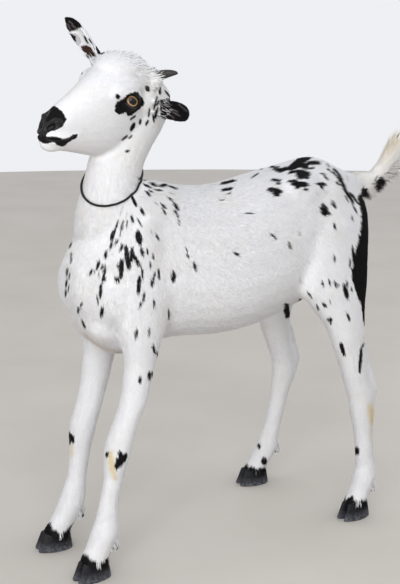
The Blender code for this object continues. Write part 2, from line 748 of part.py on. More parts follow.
def torso_from(body, group, spare):
    torso = copy_of(body, "torso", group)
    for sizes in (FRONT_LEG_BOX, HIND_LEG_BOX):
        for side in (LEFT, RIGHT):
            combine(torso, leg_box("leg block grown", sizes, side, GAP, spare), "DIFFERENCE")
    keep_largest(torso)
    point, normal = cut_plane(NECK_CUT_FRONT, NECK_CUT_BACK)
    slice_off(torso, point, normal)
    point, normal = cut_plane(TAIL_CUT_BOTTOM, TAIL_CUT_TOP)
    slice_off(torso, point, -normal)
    return keep_largest(torso)


def neck_from(body, group):
    neck = copy_of(body, "neck", group)
    point, normal = cut_plane(NECK_CUT_FRONT, NECK_CUT_BACK)
    slice_off(neck, point + normal * GAP, -normal)
    point, normal = cut_plane(HEAD_CUT_FRONT, HEAD_CUT_BACK)
    slice_off(neck, point, normal)
    return keep_largest(neck)


def tail_from(body, group):
    tail = copy_of(body, "tail", group)
    point, normal = cut_plane(TAIL_CUT_BOTTOM, TAIL_CUT_TOP)
    slice_off(tail, point - normal * GAP, normal)
    return keep_largest(tail)


def lock(name, root, direction, bend, hair, length, group):
    """Flat tapered lock of hair that bends on its way to the tip."""
    rings = []
    side = direction.cross(bend).normalized()
    for step, size in enumerate((1.0, 1.10, 0.98, 0.68, 0.14)):
        t = step / 4
        centre = root + direction * length * t + bend * length * t * t
        ahead = (direction + bend * 2 * t).normalized()
        face = ahead.cross(side).normalized()
        half, deep = hair["width"] * size, max(hair["thickness"] * size, 0.0003)
        rings.append([centre + side * half, centre + face * deep,
                      centre - side * half, centre - face * deep])
    return loft(name, rings, group)


def tail_locks(chance, locks):
    """Rings of long locks that leave the core all round and sweep up and back."""
    stations = smooth_rows(TAIL, 4)
    first, last = 10, len(stations) - 3
    for row in range(TAIL_HAIR["rows"]):
        index = int(first + (last - first) * row / (TAIL_HAIR["rows"] - 1))
        here, ahead = Vector(stations[index][:3]), Vector(stations[index + 1][:3])
        along = (ahead - here).normalized()
        side = Vector((1, 0, 0))
        behind = along.cross(side)
        for turn in range(TAIL_HAIR["around"]):
            angle = 2 * math.pi * (turn + 0.5 * (row % 2)) / TAIL_HAIR["around"]
            angle += chance.uniform(-0.15, 0.15)
            away = side * math.cos(angle) + behind * math.sin(angle)
            direction = (along + away * 0.30 + Vector((0, 0.22, 0.16))).normalized()
            bend = Vector((chance.uniform(-0.003, 0.003), 0.010, -0.002)) - away * 0.004
            length = chance.uniform(*TAIL_HAIR["length"])
            lock("tail lock", here + away * 0.003, direction, bend, TAIL_HAIR, length, locks)


def tail_hair(tail):
    """Fuse the locks of the tail, and the tuft under its root, with its core."""
    locks = new_collection("tail hair")
    tail_locks(random.Random(7), locks)
    for turn in range(-1, 2):
        direction = Vector((0.30 * turn, 0.80, -0.45)).normalized()
        x, y, z = ROOT_HAIR["start"]
        start, bend = Vector((x * turn, y, z)), Vector((0.0001, 0.001, -0.009))
        lock("root lock", start, direction, bend, ROOT_HAIR, ROOT_HAIR["length"], locks)
    combine(tail, locks, "UNION")
    remove(list(locks.objects))
    bpy.data.collections.remove(locks)
    return keep_largest(tail)


def head_from(whole, group):
    head = copy_of(whole, "head", group)
    point, normal = cut_plane(HEAD_CUT_FRONT, HEAD_CUT_BACK)
    slice_off(head, point + normal * GAP, -normal)
    return keep_largest(head)


def claw(name, foot, half_sign, group):
    """One claw of a hoof: flat sole, sloping toe and a straight inner wall."""
    rings = []
    for level, size, back in CLAW_LEVELS:
        points = []
        for i in range(16):
            angle = 2 * math.pi * i / 16
            along = -math.cos(angle) * HOOF_LENGTH / 2
            taper = 1.0 - 0.34 * max(0.0, -along / (HOOF_LENGTH / 2)) ** 1.5
            out = math.sin(angle) * (CLAW_WIDTH - CLAW_INNER) * taper
            out = max(out, -CLAW_INNER)
            away = CLEFT / 2 + GAP + CLAW_INNER * size + out * size
            flat_y = along * size + back
            slope = (flat_y + HOOF_LENGTH / 2) / HOOF_LENGTH
            top = CORONET_FRONT + (CORONET_BACK - CORONET_FRONT) * slope - GAP
            points.append(Vector((half_sign * away, flat_y, level * top)))
        rings.append(points)
    made = loft(name, rings, group)
    made.data.transform(foot_place(foot))
    return made


def hooves(group):
    made = []
    for foot in FEET:
        outer = LEFT if foot.endswith("left") else RIGHT
        for name, sign in (("outer", outer), ("inner", -outer)):
            made.append(claw("hoof_" + foot + "_" + name, foot, sign, group))
    return made


def dewclaws(legs, group, spare):
    """Two small horny lumps behind each fetlock, set on the leg."""
    made = []
    stations = {
        "front_left": LEG_FRONT_LEFT, "front_right": LEG_FRONT_RIGHT,
        "hind_left": LEG_HIND_LEFT, "hind_right": LEG_HIND_RIGHT,
    }
    for leg, foot in zip(legs, FEET):
        low = min(stations[foot], key=lambda row: abs(row[2] - DEWCLAW_HEIGHT))
        x, y, z, depth, width = low
        shell = grown(leg, GAP, "leg grown", spare)
        outer = LEFT if foot.endswith("left") else RIGHT
        for name, sign in (("outer", outer), ("inner", -outer)):
            centre = (x + sign * DEWCLAW_APART, y + depth - 0.003, z - 0.004)
            bud = ball("dewclaw_" + foot + "_" + name, centre, DEWCLAW_RADII,
                       group, (DEWCLAW_TILT, 0, 0), detail=2)
            combine(bud, shell, "DIFFERENCE")
            made.append(keep_largest(bud))
    return made


def collar(body, neck, group, spare):
    """Thin cord that lies on the neck and hangs to the front left."""
    skin = bmesh.new()
    skin.from_mesh(body.data)
    tree = BVHTree.FromBMesh(skin)
    path = []
    for i in range(CORD_POINTS):
        angle = 2 * math.pi * i / CORD_POINTS
        flat = Vector((math.cos(angle), math.sin(angle), 0))
        fall = CORD_SLOPE * flat.dot(Vector(CORD_LOW_SIDE))
        outward = (flat - Vector((0, 0, fall))).normalized()
        hit, normal, index, distance = tree.ray_cast(Vector(CORD_MIDDLE), outward, 0.2)
        path.append(hit + normal * (CORD_RADIUS + 2 * GAP))
    skin.free()
    curve = bpy.data.curves.new("collar", "CURVE")
    curve.dimensions = "3D"
    curve.bevel_depth = CORD_RADIUS
    curve.bevel_resolution = 1
    line = curve.splines.new("POLY")
    line.points.add(len(path) - 1)
    for spot, point in zip(line.points, path):
        spot.co = (*point, 1.0)
    line.use_cyclic_u = True
    cord = bpy.data.objects.new("collar curve", curve)
    spare.objects.link(cord)
    graph = bpy.context.evaluated_depsgraph_get()
    mesh = bpy.data.meshes.new_from_object(cord.evaluated_get(graph))
    made = bpy.data.objects.new("collar", mesh)
    group.objects.link(made)
    remove([cord])
    shape = bmesh.new()
    shape.from_mesh(mesh)
    bmesh.ops.remove_doubles(shape, verts=shape.verts, dist=0.00001)
    bmesh.ops.recalc_face_normals(shape, faces=shape.faces)
    shape.to_mesh(mesh)
    shape.free()
    combine(made, grown(neck, GAP, "neck grown", spare), "DIFFERENCE")
    return keep_largest(made)


def finish(items, spec):
    for item in items:
        item.data.materials.clear()
        item.data.materials.append(material(spec))
        item.data.shade_smooth()
        item.data.set_sharp_from_angle(angle=math.radians(50))


def stand_on_origin(items):
    """Put the middle of the model's base on the world origin."""
    corners = [v.co for item in items for v in item.data.vertices]
    middle_x = (min(c.x for c in corners) + max(c.x for c in corners)) / 2
    middle_y = (min(c.y for c in corners) + max(c.y for c in corners)) / 2
    shift = Matrix.Translation((-middle_x, -middle_y, 0))
    for item in items:
        item.data.transform(shift)


def build():
    clear_scene()
    goat = new_collection("teddy goat")
    spare = new_collection("cutters")
    body = body_whole(spare)
    whole_head = head_whole(spare)
    torso = torso_from(body, goat, spare)
    neck = neck_from(body, goat)
    tail = tail_from(body, goat)
    legs = legs_from(body, goat, spare)
    head = head_from(whole_head, goat)
    mouth_line(head, spare)
    nostrils(head, spare)
    ear_pair = ears(head, goat, spare)
    horn_pair = horns(head, goat, spare)
    eye_pair = eyes(head, goat, spare)
    tail_hair(tail)
    claws = hooves(goat)
    buds = dewclaws(legs, goat, spare)
    cord = collar(body, neck, goat, spare)
    keep_largest(head)
    coat = [torso, neck, tail, head] + legs + ear_pair
    finish(coat, WHITE_COAT)
    finish(horn_pair + claws + buds, DARK_HORN)
    finish(eye_pair, EYE_AMBER)
    finish([cord], DARK_CORD)
    remove(list(spare.objects))
    bpy.data.collections.remove(spare)
    stand_on_origin(list(goat.objects))


build()
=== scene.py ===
import math

import bpy
import numpy as np
from mathutils import Matrix, Vector
from mathutils.bvhtree import BVHTree


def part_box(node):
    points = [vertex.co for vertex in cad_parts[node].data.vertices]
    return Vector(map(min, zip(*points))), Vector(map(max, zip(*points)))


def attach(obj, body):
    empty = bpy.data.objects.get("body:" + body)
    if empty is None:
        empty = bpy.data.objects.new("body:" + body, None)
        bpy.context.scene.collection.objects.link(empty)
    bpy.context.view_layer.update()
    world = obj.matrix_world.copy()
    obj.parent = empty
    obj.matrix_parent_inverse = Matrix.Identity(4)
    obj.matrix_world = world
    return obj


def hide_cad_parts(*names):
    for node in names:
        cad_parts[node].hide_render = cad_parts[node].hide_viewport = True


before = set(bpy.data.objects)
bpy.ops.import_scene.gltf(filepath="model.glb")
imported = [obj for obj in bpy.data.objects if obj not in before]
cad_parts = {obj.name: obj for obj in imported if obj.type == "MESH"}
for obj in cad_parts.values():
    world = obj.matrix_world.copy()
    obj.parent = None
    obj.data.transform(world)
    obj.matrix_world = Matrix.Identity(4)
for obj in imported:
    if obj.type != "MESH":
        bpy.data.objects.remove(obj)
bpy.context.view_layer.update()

for startup in ("Cube", "Light", "Camera"):
    if startup in bpy.data.objects:
        bpy.data.objects.remove(bpy.data.objects[startup])


# Where the goat stands in the frame. The goat is laid out from a point on the
# floor midway between its fore hooves, facing -Y, with its left side at +X.
# The left eyeball of the solids tells how far that point is from the origin.
EYE_RADIUS = 0.0125
EYES_MIDDLE = Vector((0.022, 0.068, 0.737))
HEAD_TURN, HEAD_NOD, HEAD_TILT = (math.radians(a) for a in (19.0, -4.5, 14.5))
EYE_PLACE = (0.0400, 0.005, -0.001)

head_turn = (
    Matrix.Rotation(HEAD_TURN, 3, "Z") @ Matrix.Rotation(HEAD_NOD, 3, "X")
    @ Matrix.Rotation(HEAD_TILT, 3, "Y")
)
eye_low, eye_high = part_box("eye_left")
fore_hooves = (eye_low + eye_high) / 2 - (EYES_MIDDLE + head_turn @ Vector(EYE_PLACE))


def on_goat(x, y, z):
    """A point measured from midway between the fore hooves."""
    return fore_hooves + Vector((x, y, z))


def on_head(x, y, z):
    """A point measured from midway between the eyes, along the head's own axes."""
    return fore_hooves + EYES_MIDDLE + head_turn @ Vector((x, y, z))


def to_side(side, place):
    """A place given for the left side (1), or its mirror place on the right (-1)."""
    return side * place[0], place[1], place[2]


# The camera stands level with the head, ahead of the left shoulder, and looks a
# little down. Its lens takes in the goat from the ear tip to the fore hooves.
PICTURE_WIDTH, PICTURE_HEIGHT = 400, 584
FOCAL_PIXELS, HORIZON_ROW, SENSOR_HEIGHT = 1103.0, 55.0, 36.0
CAMERA_PLACE = (1.4761, -0.7161, 0.79)
camera_turn = math.radians(57.0)
camera_fall = math.atan((PICTURE_HEIGHT / 2 - HORIZON_ROW) / FOCAL_PIXELS)
camera_at = np.array(on_goat(*CAMERA_PLACE))
camera_right = np.array((math.cos(camera_turn), math.sin(camera_turn), 0.0))
camera_level = np.array((-math.sin(camera_turn), math.cos(camera_turn), 0.0))
camera_ahead = camera_level * math.cos(camera_fall) - np.array((0, 0, math.sin(camera_fall)))
camera_up = camera_level * math.sin(camera_fall) + np.array((0, 0, math.cos(camera_fall)))


def add_object(name, data):
    """Put a mesh, a lamp or a camera into the scene."""
    made = bpy.data.objects.new(name, data)
    bpy.context.scene.collection.objects.link(made)
    return made


lens = bpy.data.cameras.new("Camera")
lens.sensor_fit = "VERTICAL"
lens.sensor_height = SENSOR_HEIGHT
lens.lens = SENSOR_HEIGHT * FOCAL_PIXELS / PICTURE_HEIGHT
camera = add_object("Camera", lens)
facing = Matrix([camera_right, camera_up, -camera_ahead]).transposed().to_4x4()
camera.matrix_world = Matrix.Translation(Vector(camera_at)) @ facing
bpy.context.scene.camera = camera


def picture_place(points):
    """Column, row and distance ahead of the camera for points, as the photo frames them."""
    away = points - camera_at
    ahead = away @ camera_ahead
    column = PICTURE_WIDTH / 2 + FOCAL_PIXELS * (away @ camera_right) / ahead
    row = PICTURE_HEIGHT / 2 - FOCAL_PIXELS * (away @ camera_up) / ahead
    return column, row, ahead


def sight_line(column, row):
    """Direction from the camera through a place in the picture."""
    across = (column - PICTURE_WIDTH / 2) / FOCAL_PIXELS
    rise = (PICTURE_HEIGHT / 2 - row) / FOCAL_PIXELS
    return Vector(camera_ahead + camera_right * across + camera_up * rise).normalized()


# The hide is one skin over head, neck, trunk, tail, legs and ears, with no seam.
# It is drawn from the goat's solids, grown together and smoothed, and then sunk
# by the depth of the coat, which is least on the face, the ears and the shins.
FLESH = [
    "torso", "neck", "head", "ear_left", "ear_right",
    "leg_front_left", "leg_front_right", "leg_hind_left", "leg_hind_right",
]
HIDE_GRAIN, HIDE_TRIANGLES = 0.0020, 190000
# How far the flesh and the ears are grown, so that each laps over its neighbours.
LAP, EAR_LAP = 0.0004, 0.0018
# Foot and tip of each ear, along the head's own axes.
EARS = {
    "ear_left": ((0.036, 0.050, -0.008), (0.1255, 0.0365, 0.0030)),
    "ear_right": ((-0.044, 0.036, 0.014), (-0.1173, -0.0033, 0.0819)),
}
# How far the front edge of the raised ear is filled out, at shares of its length.
EAR_FILL_AT, EAR_FILL = (0.45, 0.68, 0.90, 1.0), (0.0, 0.0040, 0.0050, 0.0025)
EAR_FILL_WIDTH = 0.014
# Stations of the tail's own flesh: y, z, half depth and half width.
TAIL_BONE = [
    (0.520, 0.548, 0.030, 0.025), (0.552, 0.560, 0.027, 0.021), (0.580, 0.566, 0.0205, 0.016),
    (0.602, 0.573, 0.0140, 0.012), (0.620, 0.586, 0.0110, 0.010), (0.635, 0.601, 0.0090, 0.008),
    (0.648, 0.616, 0.0065, 0.006), (0.656, 0.625, 0.0030, 0.003),
]


def mesh_arrays(mesh):
    """Corner points and triangles of a mesh, as arrays."""
    points = np.empty(len(mesh.vertices) * 3)
    mesh.vertices.foreach_get("co", points)
    mesh.calc_loop_triangles()
    faces = np.empty(len(mesh.loop_triangles) * 3, np.int32)
    mesh.loop_triangles.foreach_get("vertices", faces)
    return points.reshape(-1, 3), faces.reshape(-1, 3)


def point_normals(mesh):
    """Way that the surface faces at each point of a mesh."""
    normals = np.empty(len(mesh.vertices) * 3)
    mesh.vertices.foreach_get("normal", normals)
    return normals.reshape(-1, 3)


def new_piece(name, points, faces):
    """Object made of points and triangles."""
    mesh = bpy.data.meshes.new(name)
    mesh.vertices.add(len(points))
    mesh.vertices.foreach_set("co", np.asarray(points, np.float32).ravel())
    mesh.loops.add(len(faces) * 3)
    mesh.loops.foreach_set("vertex_index", np.asarray(faces, np.int32).ravel())
    mesh.polygons.add(len(faces))
    mesh.polygons.foreach_set("loop_start", np.arange(0, len(faces) * 3, 3, dtype=np.int32))
    mesh.update(calc_edges=True)
    mesh.validate()
    mesh.shade_smooth()
    return add_object(name, mesh)


def turns(count):
    """Angles in even steps, once round."""
    return [2 * math.pi * k / count for k in range(count)]


def ring_loft(rings):
    """Points and triangles of a closed skin over rings of points, each alike in number."""
    count = len(rings[0])
    points = [p for points in rings for p in points] + [
        sum(rings[0], Vector()) / count, sum(rings[-1], Vector()) / count]
    faces = []
    for k in range(len(rings) - 1):
        for i in range(count):
            a, b = k * count + i, k * count + (i + 1) % count
            faces += [(a, b, b + count), (a, b + count, a + count)]
    start, end, last = len(points) - 2, len(points) - 1, (len(rings) - 1) * count
    for i in range(count):
        j = (i + 1) % count
        faces += [(start, j, i), (end, last + i, last + j)]
    return np.array(points), np.array(faces)


def tail_bone():
    """Rings square to the way the tail runs."""
    rings = []
    for i, (y, z, depth, width) in enumerate(TAIL_BONE):
        ahead, behind = TAIL_BONE[min(i + 1, len(TAIL_BONE) - 1)], TAIL_BONE[max(i - 1, 0)]
        along = Vector((0, ahead[0] - behind[0], ahead[1] - behind[1])).normalized()
        up = Vector((1, 0, 0)).cross(along)
        rings.append([on_goat(width * math.cos(a), y, z) + up * depth * math.sin(a)
                      for a in turns(20)])
    return ring_loft(rings)


def apply_modifiers(piece):
    """Turn what an object's modifiers show into its own mesh."""
    graph = bpy.context.evaluated_depsgraph_get()
    piece.data = bpy.data.meshes.new_from_object(piece.evaluated_get(graph))
    piece.modifiers.clear()


def full_ear_end(points):
    """Shifts that fill out the front edge of the raised ear toward its round end."""
    root, tip = (np.array(on_head(*end)) for end in EARS["ear_right"])
    length = np.linalg.norm(tip - root)
    along = (tip - root) / length
    share = np.clip((points - root) @ along / length, 0.0, 1.0)
    forward = -camera_right - along * (-camera_right @ along)
    forward /= np.linalg.norm(forward)
    reach = np.clip((points - root) @ forward / EAR_FILL_WIDTH, 0.0, 1.0)
    return forward * (np.interp(share, EAR_FILL_AT, EAR_FILL) * reach)[:, None]


def grown_flesh():
    """All flesh in one mesh, each part grown until it laps over its neighbours."""
    all_points, all_faces, start = [], [], 0
    for name in FLESH:
        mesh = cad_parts[name].data
        points, faces = mesh_arrays(mesh)
        points = points + point_normals(mesh) * (EAR_LAP if name.startswith("ear") else LAP)
        if name == "ear_right":
            points = points + full_ear_end(points)
        all_points.append(points)
        all_faces.append(faces + start)
        start += len(points)
    points, faces = tail_bone()
    all_points.append(points)
    all_faces.append(faces + start)
    return new_piece("Hide", np.concatenate(all_points), np.concatenate(all_faces))


def add_smoothing(piece, name, rounds):
    """Modifier that evens out a mesh, more with each round."""
    smoothing = piece.modifiers.new(name, "SMOOTH")
    smoothing.factor = 0.5
    smoothing.iterations = rounds
    return smoothing


hide = grown_flesh()
one_skin = hide.modifiers.new("One skin", "REMESH")
one_skin.mode = "VOXEL"
one_skin.voxel_size = HIDE_GRAIN
add_smoothing(hide, "Soften", 8)
apply_modifiers(hide)

# The trunk is evened out in steps that fade away toward the head and the legs,
# and the skin is then thinned out everywhere but on the head.
FADE_STEPS, TRUNK_ROUNDS, HEAD_REACH = 5, 70, 0.17
HEAD_FADE_START, HEAD_FADE_STEP = 0.12, 0.02
LEG_FADE_START, LEG_FADE_STEP = 0.27, 0.015
hide_points, hide_faces = mesh_arrays(hide.data)
head_middle = np.array(on_head(0.0, -0.01, -0.02))
from_head = np.linalg.norm(hide_points - head_middle, axis=1)
trunk_group = hide.vertex_groups.new(name="Trunk")
for step in range(1, FADE_STEPS + 1):
    floor_of_step = on_goat(0, 0, LEG_FADE_START + LEG_FADE_STEP * step).z
    far_enough = from_head > HEAD_FADE_START + HEAD_FADE_STEP * step
    far_enough &= hide_points[:, 2] > floor_of_step
    trunk_group.add(np.nonzero(far_enough)[0].tolist(), step / FADE_STEPS, "REPLACE")
add_smoothing(hide, "Even out", TRUNK_ROUNDS).vertex_group = "Trunk"
body_group = hide.vertex_groups.new(name="Body")
body_group.add(np.nonzero(from_head > HEAD_REACH)[0].tolist(), 1.0, "REPLACE")
thin_out = hide.modifiers.new("Thin out", "DECIMATE")
thin_out.ratio = HIDE_TRIANGLES / len(hide_faces)
thin_out.vertex_group = "Body"
thin_out.vertex_group_factor = 1.0
apply_modifiers(hide)
hide.vertex_groups.clear()
hide_points, hide_faces = mesh_arrays(hide.data)


# Each place on the hide belongs to a part of the goat, which sets how deep the
# coat lies there and which way its hair grows. On a leg the coat is thinnest
# over the shin and the foot, and gets deeper up to the thigh.
PARTS = FLESH + ["tail"]
COAT_DEPTH = {"torso": 0.0020, "neck": 0.0020, "head": 0.0012, "ear": 0.0008, "tail": 0.0010}
SHIN_DEPTH, THIGH_EXTRA, SHIN_TOP, THIGH_TOP = 0.0010, 0.0010, 0.20, 0.36
DEPTH_ROUNDS = 60
leg_like = np.array([name.startswith("leg") for name in PARTS])
head_like = np.array([name.startswith(("head", "ear")) for name in PARTS])


def smooth_step(value, low, high):
    """0 below the low value, 1 above the high one, and a soft rise between them."""
    share = np.clip((value - low) / (high - low), 0.0, 1.0)
    return share * share * (3 - 2 * share)


def parts_tree():
    """Tree of all the solids' faces, with the part that each face belongs to."""
    corners, triangles, owner, start = [], [], [], 0
    for number, name in enumerate(PARTS):
        points, faces = mesh_arrays(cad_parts[name].data)
        corners += [tuple(p) for p in points]
        triangles += [tuple(int(i) + start for i in f) for f in faces]
        owner += [number] * len(faces)
        start += len(points)
    return BVHTree.FromPolygons(corners, triangles), np.array(owner)


solid_tree, solid_owner = parts_tree()


def part_numbers(points):
    """Which part each point is nearest to."""
    return np.array([solid_owner[solid_tree.find_nearest(Vector(p))[2]] for p in points])


def evened(values, faces, rounds):
    """Values on the points of a mesh, averaged with their neighbours' again and again."""
    ends = np.concatenate([faces[:, (0, 1)], faces[:, (1, 2)], faces[:, (2, 0)]])
    ends = np.concatenate([ends, ends[:, ::-1]])
    count = np.bincount(ends[:, 0], minlength=len(values))
    for _ in range(rounds):
        around = np.bincount(ends[:, 0], weights=values[ends[:, 1]], minlength=len(values))
        values = 0.4 * values + 0.6 * around / np.maximum(count, 1)
    return values


hide_parts = part_numbers(hide_points)
depth_of_part = np.array([COAT_DEPTH.get(name.split("_")[0], 0.0) for name in PARTS])
leg_depth = SHIN_DEPTH + THIGH_EXTRA * smooth_step(hide_points[:, 2], SHIN_TOP, THIGH_TOP)
sink = np.where(leg_like[hide_parts], leg_depth, depth_of_part[hide_parts])
sink = evened(sink, hide_faces, DEPTH_ROUNDS)

# The face and the muzzle have forms finer than the solids hold: the line of the
# mouth, the nostrils, and the soft creases over and under the eyes.
MOUTH_MIDDLE, MOUTH_REACH = (0.0, -0.080, -0.071), 108.0
MOUTH_DROOP, MOUTH_CORNER, MOUTH_FADE = 0.006, 0.010, 0.6
NOSTRIL_START, NOSTRIL_RUN = (0.0065, -0.1140, -0.0590), (0.0085, 0.0, 0.0125)
NOSTRIL_BEND = (0.0, 0.0075, -0.0020)
EYE_AXIS, SLIT_AXIS = (0.86, -0.48, 0.10), (0.48, 0.765, -0.43)
# Each form: how far it is pushed out, how far off its line, and how wide it is.
MOUTH_FORMS = ((-0.0022, 0.0, 0.0016), (0.0006, 0.0042, 0.0020))
NOSTRIL_FORMS = ((-0.0035, 0.0, 0.0026), (0.0008, 0.0062, 0.0022))
OVER_EYE_FORMS = ((-0.0011, 0.0185, 0.0016), (0.0008, 0.0225, 0.0026))
UNDER_EYE_FORMS = ((-0.0008, 0.0190, 0.0018),)
# Where the skin comes up to the lids and the lips, with no hair between.
LIDS_CLEAR, LIPS_CLEAR = (0.014, 0.032), (0.002, 0.012)
# Rounds of evening of the body's normals, and the distances from the head and the
# heights over which it fades in.
NORMAL_ROUNDS, BODY_FROM_HEAD, BODY_HEIGHTS = 22, (0.13, 0.18), (0.28, 0.36)
head_axes = np.array(head_turn)
eyes_middle = np.array(on_head(0, 0, 0))
hide_tree = BVHTree.FromObject(hide, bpy.context.evaluated_depsgraph_get())


def head_frame(points):
    """Points as measured along the head's own axes."""
    return (points - eyes_middle) @ head_axes


def path_distance(points, path):
    """Distance from each point to a line of points, and how far along it that is, 0 to 1."""
    nearest, share = np.full(len(points), 9.0), np.zeros(len(points))
    for i in range(len(path) - 1):
        start, run = path[i], path[i + 1] - path[i]
        t = np.clip(((points - start) @ run) / max(run @ run, 1e-12), 0.0, 1.0)
        gap = np.linalg.norm(points - start - t[:, None] * run, axis=1)
        closer = gap < nearest
        nearest = np.where(closer, gap, nearest)
        share = np.where(closer, (i + t) / (len(path) - 1), share)
    return nearest, share


def mouth_path():
    """Where the lips meet, from corner to corner, on the hide."""
    path = []
    for i in range(33):
        share = i / 16 - 1
        angle = math.radians(MOUTH_REACH * share)
        rise = MOUTH_CORNER * abs(share) ** 3 - MOUTH_DROOP * abs(share) * (1 - abs(share))
        x, y, z = MOUTH_MIDDLE
        outward = head_turn @ Vector((math.sin(angle), -math.cos(angle), 0))
        path.append(np.array(hide_tree.ray_cast(on_head(x, y, z + rise), outward, 0.1)[0]))
    return np.array(path)


def nostril_path(side):
    """Middle line of one nostril, from its inner end round to its outer wing."""
    steps = np.linspace(0, 1, 7)[:, None]
    points = (np.array(NOSTRIL_START) + np.array(NOSTRIL_RUN) * steps
              + np.array(NOSTRIL_BEND) * steps**2)
    return np.array([on_head(*to_side(side, p)) for p in points])


def eye_axes(side):
    """Outward, along the slit and up, for the left (1) or right (-1) eye."""
    out = (head_turn @ Vector(to_side(side, EYE_AXIS))).normalized()
    slit = head_turn @ Vector(to_side(side, SLIT_AXIS))
    slit = (slit - out * slit.dot(out)).normalized()
    return out, slit, out.cross(slit) * -side


def eye_centre(side):
    """Middle of the left (1) or right (-1) eyeball."""
    return on_head(*to_side(side, EYE_PLACE))


def swell(gap, width):
    """1 on a line, fading to nothing beside it."""
    return np.exp(-((gap / width) ** 2))


hide_normals = point_normals(hide.data)
mouth = mouth_path()
mouth_gap, mouth_share = path_distance(hide_points, mouth)
mouth_fade = 1 - np.abs(mouth_share * 2 - 1) ** 4 * MOUTH_FADE
push = np.zeros(len(hide_points))
for height, off, wide in MOUTH_FORMS:
    push += height * mouth_fade * swell(mouth_gap - off, wide)
eye_gap, nose_gap = np.full(len(hide_points), 9.0), np.full(len(hide_points), 9.0)
for side in (1, -1):
    nostril_gap, _ = path_distance(hide_points, nostril_path(side))
    nose_gap = np.minimum(nose_gap, nostril_gap)
    for height, off, wide in NOSTRIL_FORMS:
        push += height * swell(nostril_gap - off, wide)
    out, slit, up = (np.array(axis) for axis in eye_axes(side))
    away = hide_points - np.array(eye_centre(side))
    near_eye = np.linalg.norm(away, axis=1)
    eye_gap = np.minimum(eye_gap, near_eye)
    turn = np.arctan2(away @ up, away @ slit)
    spread = np.hypot(away @ slit, (away @ up) * 1.15)
    facing_out = smooth_step(away @ out, -0.004, 0.006) * smooth_step(-near_eye, -0.032, -0.026)
    for half, forms in ((1, OVER_EYE_FORMS), (-1, UNDER_EYE_FORMS)):
        on_half = np.clip(half * np.sin(turn), 0, 1) ** 0.7
        for height, off, wide in forms:
            push += height * facing_out * on_half * swell(spread - off, wide)
sink = sink * smooth_step(eye_gap, *LIDS_CLEAR)
sink = sink * (0.4 + 0.6 * smooth_step(mouth_gap, *LIPS_CLEAR))
hide_points = hide_points + hide_normals * (push - sink)[:, None]
hide.data.vertices.foreach_set("co", hide_points.astype(np.float32).ravel())
hide.data.update()
hide_normals = point_normals(hide.data)
from_head = np.linalg.norm(hide_points - head_middle, axis=1)
body_share = smooth_step(from_head, *BODY_FROM_HEAD) * smooth_step(hide_points[:, 2], *BODY_HEIGHTS)
soft_normals = np.column_stack(
    [evened(hide_normals[:, k], hide_faces, NORMAL_ROUNDS) for k in range(3)])
hide_normals = hide_normals * (1 - body_share)[:, None] + soft_normals * body_share[:, None]
hide_normals /= np.linalg.norm(hide_normals, axis=1)[:, None]
hide.data.normals_split_custom_set_from_vertices(hide_normals.astype(np.float32))


